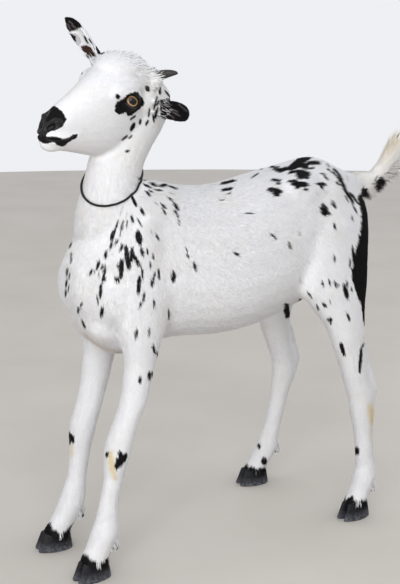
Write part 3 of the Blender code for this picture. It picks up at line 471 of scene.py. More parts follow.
# The coat is white with black flecks and patches. The flecks are laid out as
# strokes and outlines on the side that faces the camera, each from one end to
# the other with its width, and the far side carries the same flecks, mirrored.
TRUNK_STROKES = [
    (138, 178, 146, 181, 2.5), (151, 183.5, 156, 186, 3), (160, 186, 165, 185.5, 3.5),
    (168, 186, 177, 189.5, 2), (145, 185, 151, 188, 2.5), (155, 190, 162, 191, 2),
    (147, 192, 150, 196, 3), (150, 191, 152, 192, 2), (169, 198, 172, 201, 2.5),
    (174, 204, 178, 209, 3.5), (175.5, 211, 178, 218, 2), (178, 219, 179.5, 226, 2.2),
    (162, 205, 165, 208, 3), (163, 209, 165, 214, 2.5), (132, 197, 136, 206, 3.5),
    (141, 209, 143.5, 214.5, 3.5), (131.5, 217, 133, 223, 3), (137, 219, 142, 227, 2),
    (156.5, 235, 158.5, 240, 2.5), (127.5, 221, 126.5, 228, 1.6), (123.5, 221, 121, 230, 2.5),
    (121, 231, 119.5, 237, 1.2), (118, 221, 115, 232, 1.8), (114, 231, 111.5, 239, 4.5),
    (118, 240, 115, 245, 3), (112, 243, 110, 249, 2.5), (122, 246, 121, 251, 3.5),
    (106, 252, 105.5, 258, 3.5), (138, 233, 139.5, 243, 7), (126, 248, 129, 268, 5.5),
    (132, 249, 131, 262, 3.5), (131, 252, 139.5, 266, 4.5), (122, 260, 121, 277, 5),
    (118, 265, 119, 268, 3), (116, 278, 118.5, 282, 5), (141, 249, 143, 255, 3.5),
    (147, 249.5, 147.5, 255, 2), (153, 254.5, 153, 260.5, 2.2), (150, 262, 150.5, 269, 2),
    (158.5, 269, 159, 278, 2.8), (155, 272, 152, 287, 2.6), (152.5, 281, 152, 287, 3.5),
    (142, 270, 142.5, 278, 2.8), (139.5, 276, 138, 294, 4.2), (144.5, 293, 143, 302, 2.6),
    (141, 303, 139.5, 308, 2), (154, 300.5, 154, 307.5, 2.4), (168.5, 310, 168.5, 318.5, 2),
    (99, 262, 97, 269, 3.2), (91.5, 270, 90.5, 275, 2.8), (93, 271, 94.5, 273, 2.2),
    (103, 266, 101, 269, 2.5), (105, 268, 104.5, 274.5, 3.4), (98.8, 274, 98.8, 277, 1.8),
    (104, 276, 103.5, 282, 4), (106, 279, 105, 281, 2), (101, 285, 100, 297.5, 3.6),
    (97, 296, 98.5, 304, 1.8), (102.5, 308, 101.5, 316, 4), (82.5, 303, 81, 306, 2.8),
    (79.5, 307, 78, 312, 2.5), (82, 320, 83.5, 323, 2), (83.5, 323, 85, 327, 2.5),
    (137, 330, 135.5, 339, 3.2), (150, 328, 148.5, 336, 1.8), (153, 345, 154.5, 353, 2.4),
    (156.5, 351, 157.5, 357, 1.5), (186, 249, 188.5, 258, 2.6), (193.5, 262, 195.5, 270, 3),
    (173.5, 273, 173, 281, 4.8), (71.5, 242, 70.5, 247, 2), (71.3, 253, 71.3, 263, 1.6),
    (68, 268, 67, 275, 2.4), (70, 273, 69.5, 279, 1.5), (67, 280, 66.2, 287, 2.4),
    (69.5, 285, 68.5, 291, 1.5), (66.2, 290, 66, 296, 2.2),
]
RUMP_STROKES = [
    (221, 184, 235, 181, 3), (222, 190.5, 231, 189, 3), (227, 194.5, 230, 193.5, 1.5),
    (221, 200.5, 224, 200.5, 1.8), (252, 178, 258, 174, 2), (246, 213.5, 253, 213.5, 1.6),
    (271, 234, 276, 239, 2.4), (289, 243, 290.5, 249, 2.4), (234, 252.5, 239, 256, 3.2),
    (254, 170.5, 262, 169.5, 1.4), (270, 167.5, 279, 168, 2.5), (274, 170, 281, 171.5, 3.5),
    (278, 170.5, 292, 168, 4), (291, 168, 303, 161, 8), (298, 160, 308, 158, 7),
    (300, 157, 320, 156.5, 3), (284, 160, 303, 157.5, 1.8), (297, 163, 307, 167, 7),
    (308, 163, 319, 163.5, 4.2), (309, 169, 314, 168, 2), (289, 173, 298, 171, 3),
    (297, 172, 308, 174, 6), (303, 177, 308, 178, 3.5), (297, 175, 301, 178, 5),
    (289, 181.5, 297, 181, 3.2), (294, 184, 307, 185, 6), (296, 188, 300, 187, 3),
    (304, 190, 308, 189.5, 2.4), (272, 180, 280, 181, 3), (277, 183, 280, 184, 3),
    (270, 190, 280, 192, 6), (273, 194, 279, 195, 4), (317, 184, 325, 184.5, 3.6),
    (321, 186, 323, 189, 2.5), (321, 173.5, 325, 174.5, 2), (324, 175, 328, 180, 2.2),
    (322, 204.5, 327, 209, 3), (321, 208, 329, 214, 4.5), (322, 212, 326, 215, 4.5),
    (332, 201, 334, 203, 2.2), (332, 204, 336, 207.5, 2.8), (334, 223, 335.5, 229, 2.8),
    (326, 164, 329, 167, 1.2), (327, 168.5, 334, 174, 1.5), (333, 169, 340, 176, 2.5),
    (334, 173, 340, 182, 2), (339, 176, 345, 190, 4), (344, 189, 353, 203, 3.5),
    (345, 196, 348, 202, 1.5), (350, 193, 358, 204, 2.5), (352, 204, 356.5, 213, 2),
    (351.5, 216, 352.5, 220.5, 1.5), (336, 182, 339, 185, 2), (352.5, 247, 353.5, 262, 2.5),
    (350, 260, 349.5, 268, 2), (334.5, 257, 334.5, 262, 2), (322.5, 282, 323, 286, 1.8),
    (329, 281, 330.5, 285.5, 2.2), (335, 282, 336, 287.5, 2.5), (336, 286, 339, 285.5, 2.5),
    (347, 282, 347, 287, 2.2), (344, 286, 347, 297, 4.5), (351, 287, 351.5, 291, 1.8),
    (308, 292.5, 312, 298, 2.2), (317, 305, 318.5, 310, 2.2), (323, 303.5, 326, 307, 3),
    (330, 301, 330.5, 304, 1.3), (328, 320, 332, 320, 3), (330.5, 318, 331, 324, 2.5),
    (347, 314, 349.5, 320, 2.6), (341, 344, 344, 355, 4.2), (299.5, 299, 299.5, 303, 2.5),
]
LEG_STROKES = [
    (364, 343, 360, 350, 1.5), (361, 350, 359.5, 372, 3.2), (286, 305, 287, 316, 6),
    (356.5, 449, 357, 452.5, 6), (352, 500, 353, 505, 6), (259, 445, 259, 448, 4),
    (264, 459, 264, 463, 6), (107, 453, 107, 457, 3.4), (140, 379, 140, 382, 4.5),
    (149, 373, 149, 379, 3.5), (152, 372, 152, 377, 2), (344, 503, 352, 498, 4),
]
HEAD_STROKES = [
    (117.8, 96, 118, 97.5, 5.4), (146.5, 87, 148.5, 90.5, 4.5), (135, 116, 130.5, 119.5, 2.2),
    (134, 124, 131, 130, 4), (140.5, 120, 140, 124, 2.8), (148, 121, 146, 125, 2.5),
    (127, 136, 122, 140, 2.4), (132, 135.5, 129, 138.5, 2), (126, 151.5, 129, 151, 2.8),
    (157, 97, 154, 110, 2), (159, 101, 157, 106, 2), (158, 108, 155, 118, 3),
    (153, 115, 154, 122, 2), (149.5, 109, 148.5, 117, 2), (160, 88, 160, 94, 2.8),
    (165, 91, 170, 97, 2), (165, 122, 167, 123, 2), (81.5, 64, 82, 74, 1.2),
    (84.5, 36.5, 87.5, 42.5, 2.2), (88.5, 38.5, 92, 43.5, 1.6), (162.5, 112.5, 164, 118, 3),
]
GREY_FLECK_AND_SHADE_STROKES = [
    (169, 193, 175, 195, 1.2), (155, 203, 158, 205, 1.8), (123, 207, 120, 215, 1.2),
    (127, 213, 126, 218, 1.2), (151, 230, 152, 235, 1.4), (299, 232, 299.5, 236, 1.4),
    (317, 193, 318.5, 196, 1.6), (346, 176, 348, 181, 1.4), (300, 276, 300, 283, 1.2),
    # The last stroke is painted shade on the white inside of the far ear.
    (74, 36, 78, 42, 8),
]
# Painted sheen: pale grey strokes laid over the black hair of the ears, the nose and the lower lip,
# where light glances off it.
PAINTED_SHEEN_STROKES = [
    (69, 21, 73, 24, 1.3), (72, 25, 77, 29, 1.4), (68, 24, 70, 29, 1.0), (168, 107, 178, 112, 1.2),
    (172, 111.5, 180, 116, 1.1), (179, 104.5, 186.5, 111, 1.0), (165, 103, 172, 105, 1.1),
    (169, 114, 174, 118, 1.0), (46, 111, 44.5, 119, 0.9), (50, 110, 47, 116, 0.8),
    (62, 139.5, 69, 138, 1.0),
]
YELLOW_STROKES = [
    (370, 406, 372.5, 424, 6), (372.5, 426, 374, 446, 2.5), (110.5, 454, 113, 472, 6),
    (113, 470, 115.5, 479, 3), (72, 446, 73, 456, 2), (112, 560, 111, 566, 2),
    (386, 146, 389, 162, 7),
]
# Painted shade: a soft warm band along the crease under the chest, between the forelegs.
CREASE_SHADE_STROKES = [
    (85, 334, 94, 343, 4), (94, 343, 106, 349, 5), (106, 349, 119, 353, 5),
    (119, 350, 121, 358, 3),
]
PATCHES = {
    "nose": [
        (49, 106), (55, 106), (61, 110), (64, 114), (67, 119), (64, 124), (61, 127), (57, 130),
        (51, 131), (48, 133), (46, 136), (58, 137), (64, 139), (70, 137), (74, 134), (77, 133.5),
        (78, 137), (73, 140), (69, 142), (66, 145), (62, 147), (57, 145), (54, 142.5), (48, 143.5),
        (43, 143.5), (39, 141), (35, 137), (34, 128), (37, 118), (42, 109),
    ],
    "eye": [
        (125.9, 95.1), (128.9, 93.5), (132, 92.7), (135.8, 91.6), (137.9, 92.2), (141, 96.3),
        (143.6, 99.8), (144.7, 102.3), (143.6, 105.4), (141, 107.9), (138.6, 109.4),
        (135.8, 112.3), (132, 115), (128.9, 116), (126.7, 115), (125.5, 112.4), (122.3, 114.1),
        (119.2, 114.8), (116, 112.9), (114.7, 111), (114.8, 106), (116, 103.5), (117, 101.6),
        (121.4, 100.2), (125.1, 97),
    ],
    "knee": [
        (116.8, 452), (127, 453), (127.2, 459), (121.5, 466), (116, 470.6), (114.4, 465),
        (116, 460), (118, 456),
    ],
    "far knee": [
        (68.2, 428.6), (70, 432), (74.2, 436), (74, 442.6), (69, 444.4), (67, 444), (66.5, 430),
    ],
    "near ear": [
        (160.5, 100), (168, 98.5), (178, 99), (184, 103), (190, 110), (192, 120), (187, 125),
        (178, 124.5), (171, 122.5), (165, 119.5), (161.5, 118), (160, 111),
    ],
    "far ear tip": [
        (62.5, 22), (63, 16), (69.6, 14.5), (75, 17), (78.5, 21), (82, 27), (78, 29), (75, 30.5),
        (70, 32), (66.5, 30.5), (64, 26),
    ],
    "far ear rim": [
        (65, 30), (69, 32.5), (73, 34.5), (76, 37), (75.5, 41.3), (72, 41), (68, 36),
    ],
    "far ear notch": [
        (95.5, 46.5), (99, 48.5), (105, 53), (101, 55), (97.5, 54),
    ],
    "buttock": [
        (361, 191), (357, 197), (358, 200), (360, 207), (360.5, 213), (361, 222), (360, 230),
        (358, 240), (355.5, 250), (353, 255), (353.5, 260), (352, 270), (351.5, 280), (353, 285),
        (355, 290), (359, 300), (361, 305), (362, 310), (363, 320), (365, 330), (366, 335),
        (378, 335), (380, 250), (380, 200),
    ],
    "under tail": [
        (360, 190), (372, 178), (388, 178), (388, 192), (370, 200),
    ],
}
# Painted shade: a dark brown patch laid in the hollow of the far ear.
EAR_HOLLOW_SHADE_OUTLINE = [
    (80.5, 46), (87.5, 45), (91, 48), (95.5, 54), (96, 56), (88, 58), (86, 53.5), (82, 50),
]
# How finely the picture is probed, how far past its edges, in steps, and how far
# behind the nearest hide a place may lie and still be marked.
SEEN_STEP, SEEN_MARGIN, SEEN_NEAR, SEEN_PAST = 2, 8, 0.02, 0.022
# How far the edges of marks wander on head and body, and the waves they follow.
HEAD_WANDER, BODY_WANDER, EDGE_WAVE, FINE_WAVE = 0.4, 0.9, 0.0045, 0.0030
# How softly stains, painted crease shade and painted sheen end, and how much more the first two
# wander.
STAIN_BLUR, CREASE_SHADE_BLUR, PAINTED_SHEEN_BLUR, SOFT_WANDER = 2.6, 3.0, 0.8, 3
# Black hair over each hoof: height at its sides, at the toe and at the heel.
CORONET_HAIR = {
    "front_left": (0.0300, 0.0410, 0.0440), "front_right": (0.0310, 0.0430, 0.0420),
    "hind_left": (0.0350, 0.0320, 0.0240), "hind_right": (0.0330, 0.0345, 0.0310),
}
# Each foot: middle of the sole, and how far the toes turn out to the left.
FEET = {
    "front_left": (0.065, 0.001, 4.0), "front_right": (-0.065, -0.001, -6.0),
    "hind_left": (0.106, 0.493, 5.0), "hind_right": (-0.118, 0.436, -8.0),
}
# How far behind the middle of the sole the pastern stands.
PASTERN_BACK = 0.008
# The edge of the black hair over the hooves: depth and length of its waves.
RAGGED_EDGE, EDGE_SOFTNESS = ((0.0022, 0.0040), (0.0012, 0.0017)), 0.0012
# From a place on the far side of the body to the one on the near side with its marks.
FAR_SIDE_SHIFT = np.array((0.0, 0.021, -0.012))
BLACK, GREY_FLECK_AND_SHADE, STAIN, PAINTED_EAR_HOLLOW_SHADE, PAINTED_CREASE_SHADE, PAINTED_SHEEN = range(6)


def wobble(points, size):
    """Slow and fast waves that make the edge of a patch wander, about -1 to 1."""
    p = points / size
    return (
        np.sin(p[:, 0] * 2.1 + 1.3 * np.sin(p[:, 1] * 1.7))
        + np.sin(p[:, 1] * 2.6 + 1.1 * np.sin(p[:, 2] * 2.3))
        + np.sin(p[:, 2] * 3.1 + 1.7 * np.sin(p[:, 0] * 1.9))
    ) / 3


def seen_depths():
    """How far the hide lies from the camera over the picture, at every second place."""
    margin = SEEN_STEP * SEEN_MARGIN
    rows = range(-margin, PICTURE_HEIGHT + margin, SEEN_STEP)
    columns = range(-margin, PICTURE_WIDTH + margin, SEEN_STEP)
    depths = np.zeros((len(rows), len(columns)))
    for i, row in enumerate(rows):
        for j, column in enumerate(columns):
            hit = hide_tree.ray_cast(Vector(camera_at), sight_line(column, row))[0]
            if hit is not None:
                depths[i, j] = (np.array(hit) - camera_at) @ camera_ahead
    return depths


seen = seen_depths()


def in_sight(column, row, ahead):
    """Whether each point is on the side that the camera sees, or just round its edge."""
    i, j = (np.clip(np.round(at / SEEN_STEP).astype(int) + SEEN_MARGIN, 1, size - 2)
            for at, size in zip((row, column), seen.shape))
    deepest = np.zeros(len(i))
    for di in (-1, 0, 1):
        for dj in (-1, 0, 1):
            near = seen[i + di, j + dj]
            deepest = np.maximum(deepest, np.where(near < ahead + SEEN_NEAR, near, 0.0))
    return ahead < deepest + SEEN_PAST


def inside_outline(column, row, outline):
    """Whether each place lies inside a closed outline."""
    inside = np.zeros(len(column), bool)
    for (c1, r1), (c2, r2) in zip(outline, outline[1:] + outline[:1]):
        crosses = (r1 > row) != (r2 > row)
        at = c1 + (row - r1) * (c2 - c1) / (r2 - r1 if r2 != r1 else 1e-9)
        inside ^= crosses & (column < at)
    return inside


def stroke_cover(column, row, strokes, wander, blur=0.5):
    """How much each place is covered by any of the strokes, 0 to 1."""
    cover = np.zeros(len(column))
    for c1, r1, c2, r2, width in strokes:
        reach = width + 2 + blur
        box = np.nonzero((column > min(c1, c2) - reach) & (column < max(c1, c2) + reach)
                         & (row > min(r1, r2) - reach) & (row < max(r1, r2) + reach))[0]
        if not len(box):
            continue
        run_c, run_r = c2 - c1, r2 - r1
        t = (column[box] - c1) * run_c + (row[box] - r1) * run_r
        t = np.clip(t / max(run_c**2 + run_r**2, 0.01), 0, 1)
        gap = np.hypot(column[box] - c1 - t * run_c, row[box] - r1 - t * run_r)
        half = width / 2 * (1 - 0.25 * np.abs(t * 2 - 1) ** 3)
        half = half + wander[box] * min(0.45, width * 0.16)
        cover[box] = np.maximum(cover[box], smooth_step(half - gap, -blur, blur))
    return cover


def near_marks(points):
    """Marks of the near side at points, one column for each kind, where the picture has them."""
    column, row, ahead = picture_place(points)
    near_head = np.linalg.norm(points - head_middle, axis=1) < HEAD_REACH
    calm = np.where(near_head, HEAD_WANDER, BODY_WANDER)
    wander = wobble(points, EDGE_WAVE) * calm
    marks = np.zeros((len(points), 6))
    usable = np.nonzero(in_sight(column, row, ahead))[0]
    column, row, wander = column[usable], row[usable], wander[usable]
    black = np.zeros(len(usable))
    for strokes in (TRUNK_STROKES, RUMP_STROKES, LEG_STROKES, HEAD_STROKES):
        black = np.maximum(black, stroke_cover(column, row, strokes, wander))
    fine = wobble(points[usable] + 0.37, FINE_WAVE) * calm[usable]
    for outline in PATCHES.values():
        black = np.maximum(black, inside_outline(column + wander, row + fine, outline))
    marks[usable, BLACK] = black
    marks[usable, GREY_FLECK_AND_SHADE] = stroke_cover(column, row, GREY_FLECK_AND_SHADE_STROKES, wander)
    loose = wander * SOFT_WANDER
    marks[usable, STAIN] = stroke_cover(column, row, YELLOW_STROKES, loose, STAIN_BLUR)
    marks[usable, PAINTED_EAR_HOLLOW_SHADE] = inside_outline(column + wander, row + fine, EAR_HOLLOW_SHADE_OUTLINE)
    marks[usable, PAINTED_CREASE_SHADE] = stroke_cover(column, row, CREASE_SHADE_STROKES, loose, CREASE_SHADE_BLUR)
    # Painted sheen on black hair.
    marks[usable, PAINTED_SHEEN] = stroke_cover(column, row, PAINTED_SHEEN_STROKES, wander, PAINTED_SHEEN_BLUR)
    return marks


def mirrored(points, on_head_part):
    """Mirror places on the other side of the goat, on its body also a little back and down."""
    across = np.array((-1.0, 1.0, 1.0))
    body = (points - np.array(fore_hooves)) * across + np.array(fore_hooves) + FAR_SIDE_SHIFT
    head = (head_frame(points) * across) @ head_axes.T + eyes_middle
    return np.where(on_head_part[:, None], head, body)


def from_hoof(points, foot):
    """Way from the pastern of a foot to each point, seen from above."""
    x, y, _ = FEET[foot]
    return points[:, :2] - np.array(on_goat(x, y + PASTERN_BACK, 0))[:2]


def coronet_height(points):
    """How high the black hair over the hoof reaches, all round the foot nearest to each point."""
    heights, nearest = np.zeros(len(points)), np.full(len(points), 9.0)
    for foot in FEET:
        away = from_hoof(points, foot)
        gap = np.linalg.norm(away, axis=1)
        turn = math.radians(FEET[foot][2])
        toward_toe = away @ np.array((math.sin(turn), -math.cos(turn))) / np.maximum(gap, 1e-6)
        sides, toe, heel = CORONET_HAIR[foot]
        rise = np.where(toward_toe > 0, toe - sides, heel - sides)
        here = sides + rise * np.abs(toward_toe) ** 1.6
        heights, nearest = np.where(gap < nearest, here, heights), np.minimum(gap, nearest)
    return heights


def coat_marks(points, parts):
    """Marks of the coat at points on either side, one column for each kind, 0 to 1."""
    marks = near_marks(points)
    hidden = ~in_sight(*picture_place(points))
    marks[hidden] = near_marks(mirrored(points, head_like[parts])[hidden])
    ragged = coronet_height(points)
    for deep, long in RAGGED_EDGE:
        ragged = ragged + deep * wobble(points, long)
    over_hoof = smooth_step(ragged - points[:, 2], -EDGE_SOFTNESS, EDGE_SOFTNESS)
    marks[:, BLACK] = np.maximum(marks[:, BLACK], over_hoof)
    return marks


WHITE_HAIR, CREAM_HAIR = np.array((0.865, 0.865, 0.880)), np.array((0.83, 0.80, 0.74))
# The grey below serves for grey flecks and for painted shade in the far ear.
BLACK_HAIR, GREY_FLECK_AND_SHADE_TONE = np.array((0.0060, 0.0052, 0.0058)), np.array((0.40, 0.39, 0.40))
# The second tone below is painted shade in the hollow of the far ear.
YELLOW_HAIR, EAR_HOLLOW_SHADE_TONE = np.array((0.74, 0.55, 0.17)), np.array((0.042, 0.017, 0.011))
# A warm tan for painted shade in the crease under the chest, and a grey for painted sheen on black
# hair.
CREASE_SHADE_TONE, PAINTED_SHEEN_TONE = np.array((0.62, 0.50, 0.41)), np.array((0.16, 0.135, 0.135))
CREAM_MOST, CREAM_FROM, CREAM_FULL = 0.40, -0.2, 0.9
# Marks in the order in which they are laid on: kind, strength and colour. Painted crease shade
# comes first, and painted shade in the ear's hollow and painted sheen come last.
MARK_TONES = (
    (PAINTED_CREASE_SHADE, 0.55, CREASE_SHADE_TONE), (STAIN, 0.6, YELLOW_HAIR), (GREY_FLECK_AND_SHADE, 0.75, GREY_FLECK_AND_SHADE_TONE),
    (BLACK, 1.0, BLACK_HAIR), (PAINTED_EAR_HOLLOW_SHADE, 1.0, EAR_HOLLOW_SHADE_TONE), (PAINTED_SHEEN, 0.85, PAINTED_SHEEN_TONE),
)


def coat_colour(points, marks):
    """Colour of the hair at points: white, a little creamier in places, with its marks, painted
    shade and sheen among them.
    """
    clouds = wobble(points, 0.045) * 0.6 + wobble(points, 0.013) * 0.4
    cream = smooth_step(clouds, CREAM_FROM, CREAM_FULL)[:, None] * CREAM_MOST
    shade = WHITE_HAIR * (1 - cream) + CREAM_HAIR * cream
    for kind, strength, tone in MARK_TONES:
        amount = marks[:, kind, None] * strength
        shade = shade * (1 - amount) + tone * amount
    return shade


def store_colour(piece, colours):
    """Keep a colour for each point of a piece's mesh."""
    layer = piece.data.color_attributes.new("Coat", "FLOAT_COLOR", "POINT")
    solid = np.column_stack([colours, np.ones(len(colours))])
    layer.data.foreach_set("color", solid.astype(np.float32).ravel())


def new_finish(name):
    """A new material, its tree of nodes and its shader."""
    made = bpy.data.materials.new(name)
    made.use_nodes = True
    return made, made.node_tree, made.node_tree.nodes["Principled BSDF"]


def set_inputs(tree, node, values):
    """Set a node's inputs to numbers or colours, or join them to other nodes' outputs."""
    for socket, value in values.items():
        if isinstance(value, bpy.types.NodeSocket):
            tree.links.new(value, node.inputs[socket])
        else:
            node.inputs[socket].default_value = value


def add_node(tree, kind, values):
    """A new node with its inputs set or joined."""
    node = tree.nodes.new("ShaderNode" + kind)
    set_inputs(tree, node, values)
    return node


def tone_ramp(tree, amount, stops):
    """Colours that run from one stop to the next as an amount rises."""
    ramp = add_node(tree, "ValToRGB", {"Fac": amount})
    ends = ramp.color_ramp.elements
    for end, (position, colour) in ((ends[0], stops[0]), (ends[1], stops[-1])):
        end.position, end.color = position, (*colour, 1)
    for position, colour in stops[1:-1]:
        ends.new(position).color = (*colour, 1)
    return ramp.outputs["Color"]


def hair_finish(name, grain, roughness, bump):
    """Hair whose colour is the coat's own, broken up by fine strands."""
    made, tree, shader = new_finish(name)
    colour = add_node(tree, "VertexColor", {})
    colour.layer_name = "Coat"
    place = add_node(tree, "TexCoord", {}).outputs["Object"]
    strands = add_node(tree, "TexNoise", {"Vector": place, "Scale": grain, "Detail": 6})
    strands = strands.outputs["Fac"]
    shade = add_node(tree, "MapRange", {
        "Value": strands, "From Min": 0.3, "From Max": 0.7, "To Min": 0.86, "To Max": 1.04})
    toned = add_node(tree, "VectorMath", {0: colour.outputs["Color"]})
    toned.operation = "SCALE"
    set_inputs(tree, toned, {"Scale": shade.outputs["Result"]})
    rough = add_node(tree, "MapRange", {
        "Value": strands, "To Min": roughness - 0.12, "To Max": roughness + 0.12})
    raised = add_node(tree, "Bump", {"Height": strands, "Strength": bump, "Distance": 0.0006})
    set_inputs(tree, shader, {
        "Base Color": toned.outputs["Vector"], "Roughness": rough.outputs["Result"],
        "Normal": raised.outputs["Normal"], "Specular IOR Level": 0.12})
    return made


def nose_leather():
    """Bare black skin of the nose and the lips: fine pebbled grain with a dull shine."""
    made, tree, shader = new_finish("Nose leather")
    place = add_node(tree, "TexCoord", {}).outputs["Object"]
    pebbles = add_node(tree, "TexVoronoi", {"Vector": place, "Scale": 750.0})
    tones = tone_ramp(tree, pebbles.outputs["Distance"], (
        (0.1, (0.0085, 0.0070, 0.0082)), (0.7, (0.0040, 0.0034, 0.0038))))
    raised = add_node(tree, "Bump", {
        "Height": pebbles.outputs["Distance"], "Strength": 0.55, "Distance": 0.0004})
    raised.invert = True
    set_inputs(tree, shader, {
        "Base Color": tones, "Normal": raised.outputs["Normal"],
        "Roughness": 0.38, "Specular IOR Level": 0.28})
    return made


NOSE_REACH, LIP_REACH = 0.0110, 0.0018
hide_marks = coat_marks(hide_points, hide_parts)
store_colour(hide, coat_colour(hide_points, hide_marks))
black_nose = (nose_gap < NOSE_REACH) & (hide_marks[:, BLACK] > 0.5)
nose_faces = (black_nose | (mouth_gap < LIP_REACH))[hide_faces].all(axis=1)
hide.data.materials.append(hair_finish("Skin under short hair", 900.0, 0.62, 0.5))
hide.data.materials.append(nose_leather())
polygon_of_face = np.empty(len(hide_faces), np.int32)
hide.data.loop_triangles.foreach_get("polygon_index", polygon_of_face)
slot_of_polygon = np.zeros(len(hide.data.polygons), np.int32)
slot_of_polygon[polygon_of_face[nose_faces]] = 1
hide.data.polygons.foreach_set("material_index", slot_of_polygon)
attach(hide, "root")
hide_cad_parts(*FLESH)


# The coat is short hair that lies flat and runs from the nose back along the
# head, down the neck and sides, back along the trunk and down the legs. It is
# made of small tufts, each a thin closed blade, rooted in the hide.
LIE_BODY = [
    ((0.02, 0.15, 0.60), (0, 1, -0.15)), ((0.02, 0.25, 0.59), (0, 1, -0.05)),
    ((0.02, 0.35, 0.60), (0, 1, 0)), ((0.02, 0.45, 0.62), (0, 1, -0.05)),
    ((0.02, 0.53, 0.60), (0.1, 0.8, -0.4)), ((0.10, 0.17, 0.50), (0, 0.45, -0.9)),
    ((0.10, 0.17, 0.40), (0, 0.4, -0.9)), ((0.10, 0.25, 0.50), (0, 0.9, -0.35)),
    ((0.10, 0.25, 0.40), (0, 0.75, -0.6)), ((0.10, 0.35, 0.52), (0, 0.85, -0.45)),
    ((0.10, 0.35, 0.42), (0, 0.6, -0.8)), ((0.09, 0.44, 0.55), (0, 0.5, -0.85)),
    ((0.10, 0.46, 0.48), (0, 0.25, -1)), ((0.10, 0.46, 0.40), (0, 0.15, -1)),
    ((0.07, 0.53, 0.50), (0, 0.1, -1)), ((0.04, 0.20, 0.35), (0, 1, 0)),
    ((0.04, 0.30, 0.35), (0, 1, 0)), ((0.04, 0.37, 0.36), (0, 0.9, 0.3)),
    ((0.09, 0.06, 0.52), (0, -0.15, -1)), ((0.09, 0.12, 0.52), (0, 0.25, -1)),
    ((0.09, 0.05, 0.44), (0, -0.2, -1)), ((0.09, 0.12, 0.44), (0, 0.2, -1)),
    ((0.02, 0, 0.50), (0, -0.2, -1)), ((0.02, 0, 0.42), (0, 0.2, -1)),
    ((0.03, 0.06, 0.35), (0, 0.9, -0.5)), ((0.04, 0.08, 0.56), (0, 0, -1)),
    ((0.04, 0.08, 0.62), (0, 0, -1)), ((0.03, 0.12, 0.66), (0, 0.1, -1)),
    ((0, 0.04, 0.60), (0, -0.1, -1)), ((0, 0.15, 0.68), (0, 0.4, -1)),
    ((0, 0.57, 0.57), (0, 1, 0)), ((0, 0.60, 0.58), (0, 0.8, 0.6)),
    ((0, 0.64, 0.62), (0, 0.6, 0.8)),
]
LIE_HEAD = [
    ((0.02, -0.10, -0.05), (0.1, 1, 0.2)), ((0.04, -0.02, -0.05), (0.1, 1, 0.15)),
    ((0.03, 0, -0.09), (0, 1, -0.2)), ((0, -0.06, 0), (0, 0.8, 0.5)), ((0, 0, 0.055), (0, 1, 0.2)),
    ((0, 0.06, 0.05), (0, 0.9, -0.5)), ((0.03, 0.05, -0.07), (0, 0.7, -0.7)),
    ((0.045, 0.03, 0.02), (0.2, 1, 0)),
]
LIE_REACH_BODY, LIE_REACH_HEAD = 0.050, 0.025
LEG_LIE, LEG_LIE_TOP, LEG_LIE_FADE = np.array((0.0, 0.06, -1.0)), 0.40, 0.08
# Each region: parts, tufts on a square metre, length, width and lift in degrees.
# The mesh of each piece stays under 200,000 triangles.
COAT_REGIONS = {
    "trunk": (("torso",), 400000, 0.0085, 0.00105, 8.0),
    "neck": (("neck",), 480000, 0.0080, 0.00100, 9.0),
    "fore_legs": (("leg_front_left", "leg_front_right"), 520000, 0.0065, 0.00090, 8.0),
    "hind_legs": (("leg_hind_left", "leg_hind_right"), 470000, 0.0070, 0.00095, 8.0),
    "head": (("head",), 1000000, 0.0036, 0.00075, 9.0),
    "ears": (("ear_left", "ear_right"), 800000, 0.0042, 0.00075, 9.0),
}
COAT_SEED, MOST_TRIANGLES = 4, 190000
# How much the tufts of a region differ in direction, size and lift.
HAIR_SWING, SIZE_SPREAD, LIFT_SPREAD = math.radians(9), 0.16, 0.25
# How deep a blade is rooted, how thick it is for its width, and the sideways
# tilt of its shading, which makes the hair look round.
ROOT_DEPTH, BLADE_THICKNESS, BLADE_TILT = 0.0003, 0.30, np.array([-0.30, 0.30, 0.0, 0.0])
# Map of the coat: faces of the copy that is unwrapped, and half a tuft's patch.
MAP_FACES, PATCH = 6000, 0.0015
BARE_ROUND_EYE, BARE_BEHIND_EYE = 0.0185, -0.004


def lie_anchors():
    """Places and hair directions all over the goat, the right side like the left."""
    places, ways, reaches = [], [], []
    for side in (1, -1):
        for place, way in LIE_BODY:
            places.append(on_goat(*to_side(side, place)))
            ways.append(Vector(to_side(side, way)))
            reaches.append(LIE_REACH_BODY)
        for place, way in LIE_HEAD:
            places.append(on_head(*to_side(side, place)))
            ways.append(head_turn @ Vector(to_side(side, way)))
            reaches.append(LIE_REACH_HEAD)
    return np.array(places), np.array(ways), np.array(reaches)


anchor_places, anchor_ways, anchor_reaches = lie_anchors()


def lie_of_hair(points, normals, parts):
    """Unit direction, along the surface, in which the hair grows at each point."""
    total = np.zeros((len(points), 3))
    for place, way, reach in zip(anchor_places, anchor_ways, anchor_reaches):
        pull = np.exp(-(((points - place) ** 2).sum(axis=1)) / (2 * reach**2)) + 1e-9
        total += pull[:, None] * way
    low = smooth_step(LEG_LIE_TOP - points[:, 2], 0.0, LEG_LIE_FADE)[:, None]
    total /= np.linalg.norm(total, axis=1)[:, None]
    total = np.where(leg_like[parts][:, None], total * (1 - low) + LEG_LIE * low, total)
    for name, (root, tip) in EARS.items():
        along = np.array(on_head(*tip) - on_head(*root))
        total[parts == PARTS.index(name)] = along / np.linalg.norm(along)
    total -= normals * (total * normals).sum(axis=1)[:, None]
    return total / np.maximum(np.linalg.norm(total, axis=1)[:, None], 1e-9)


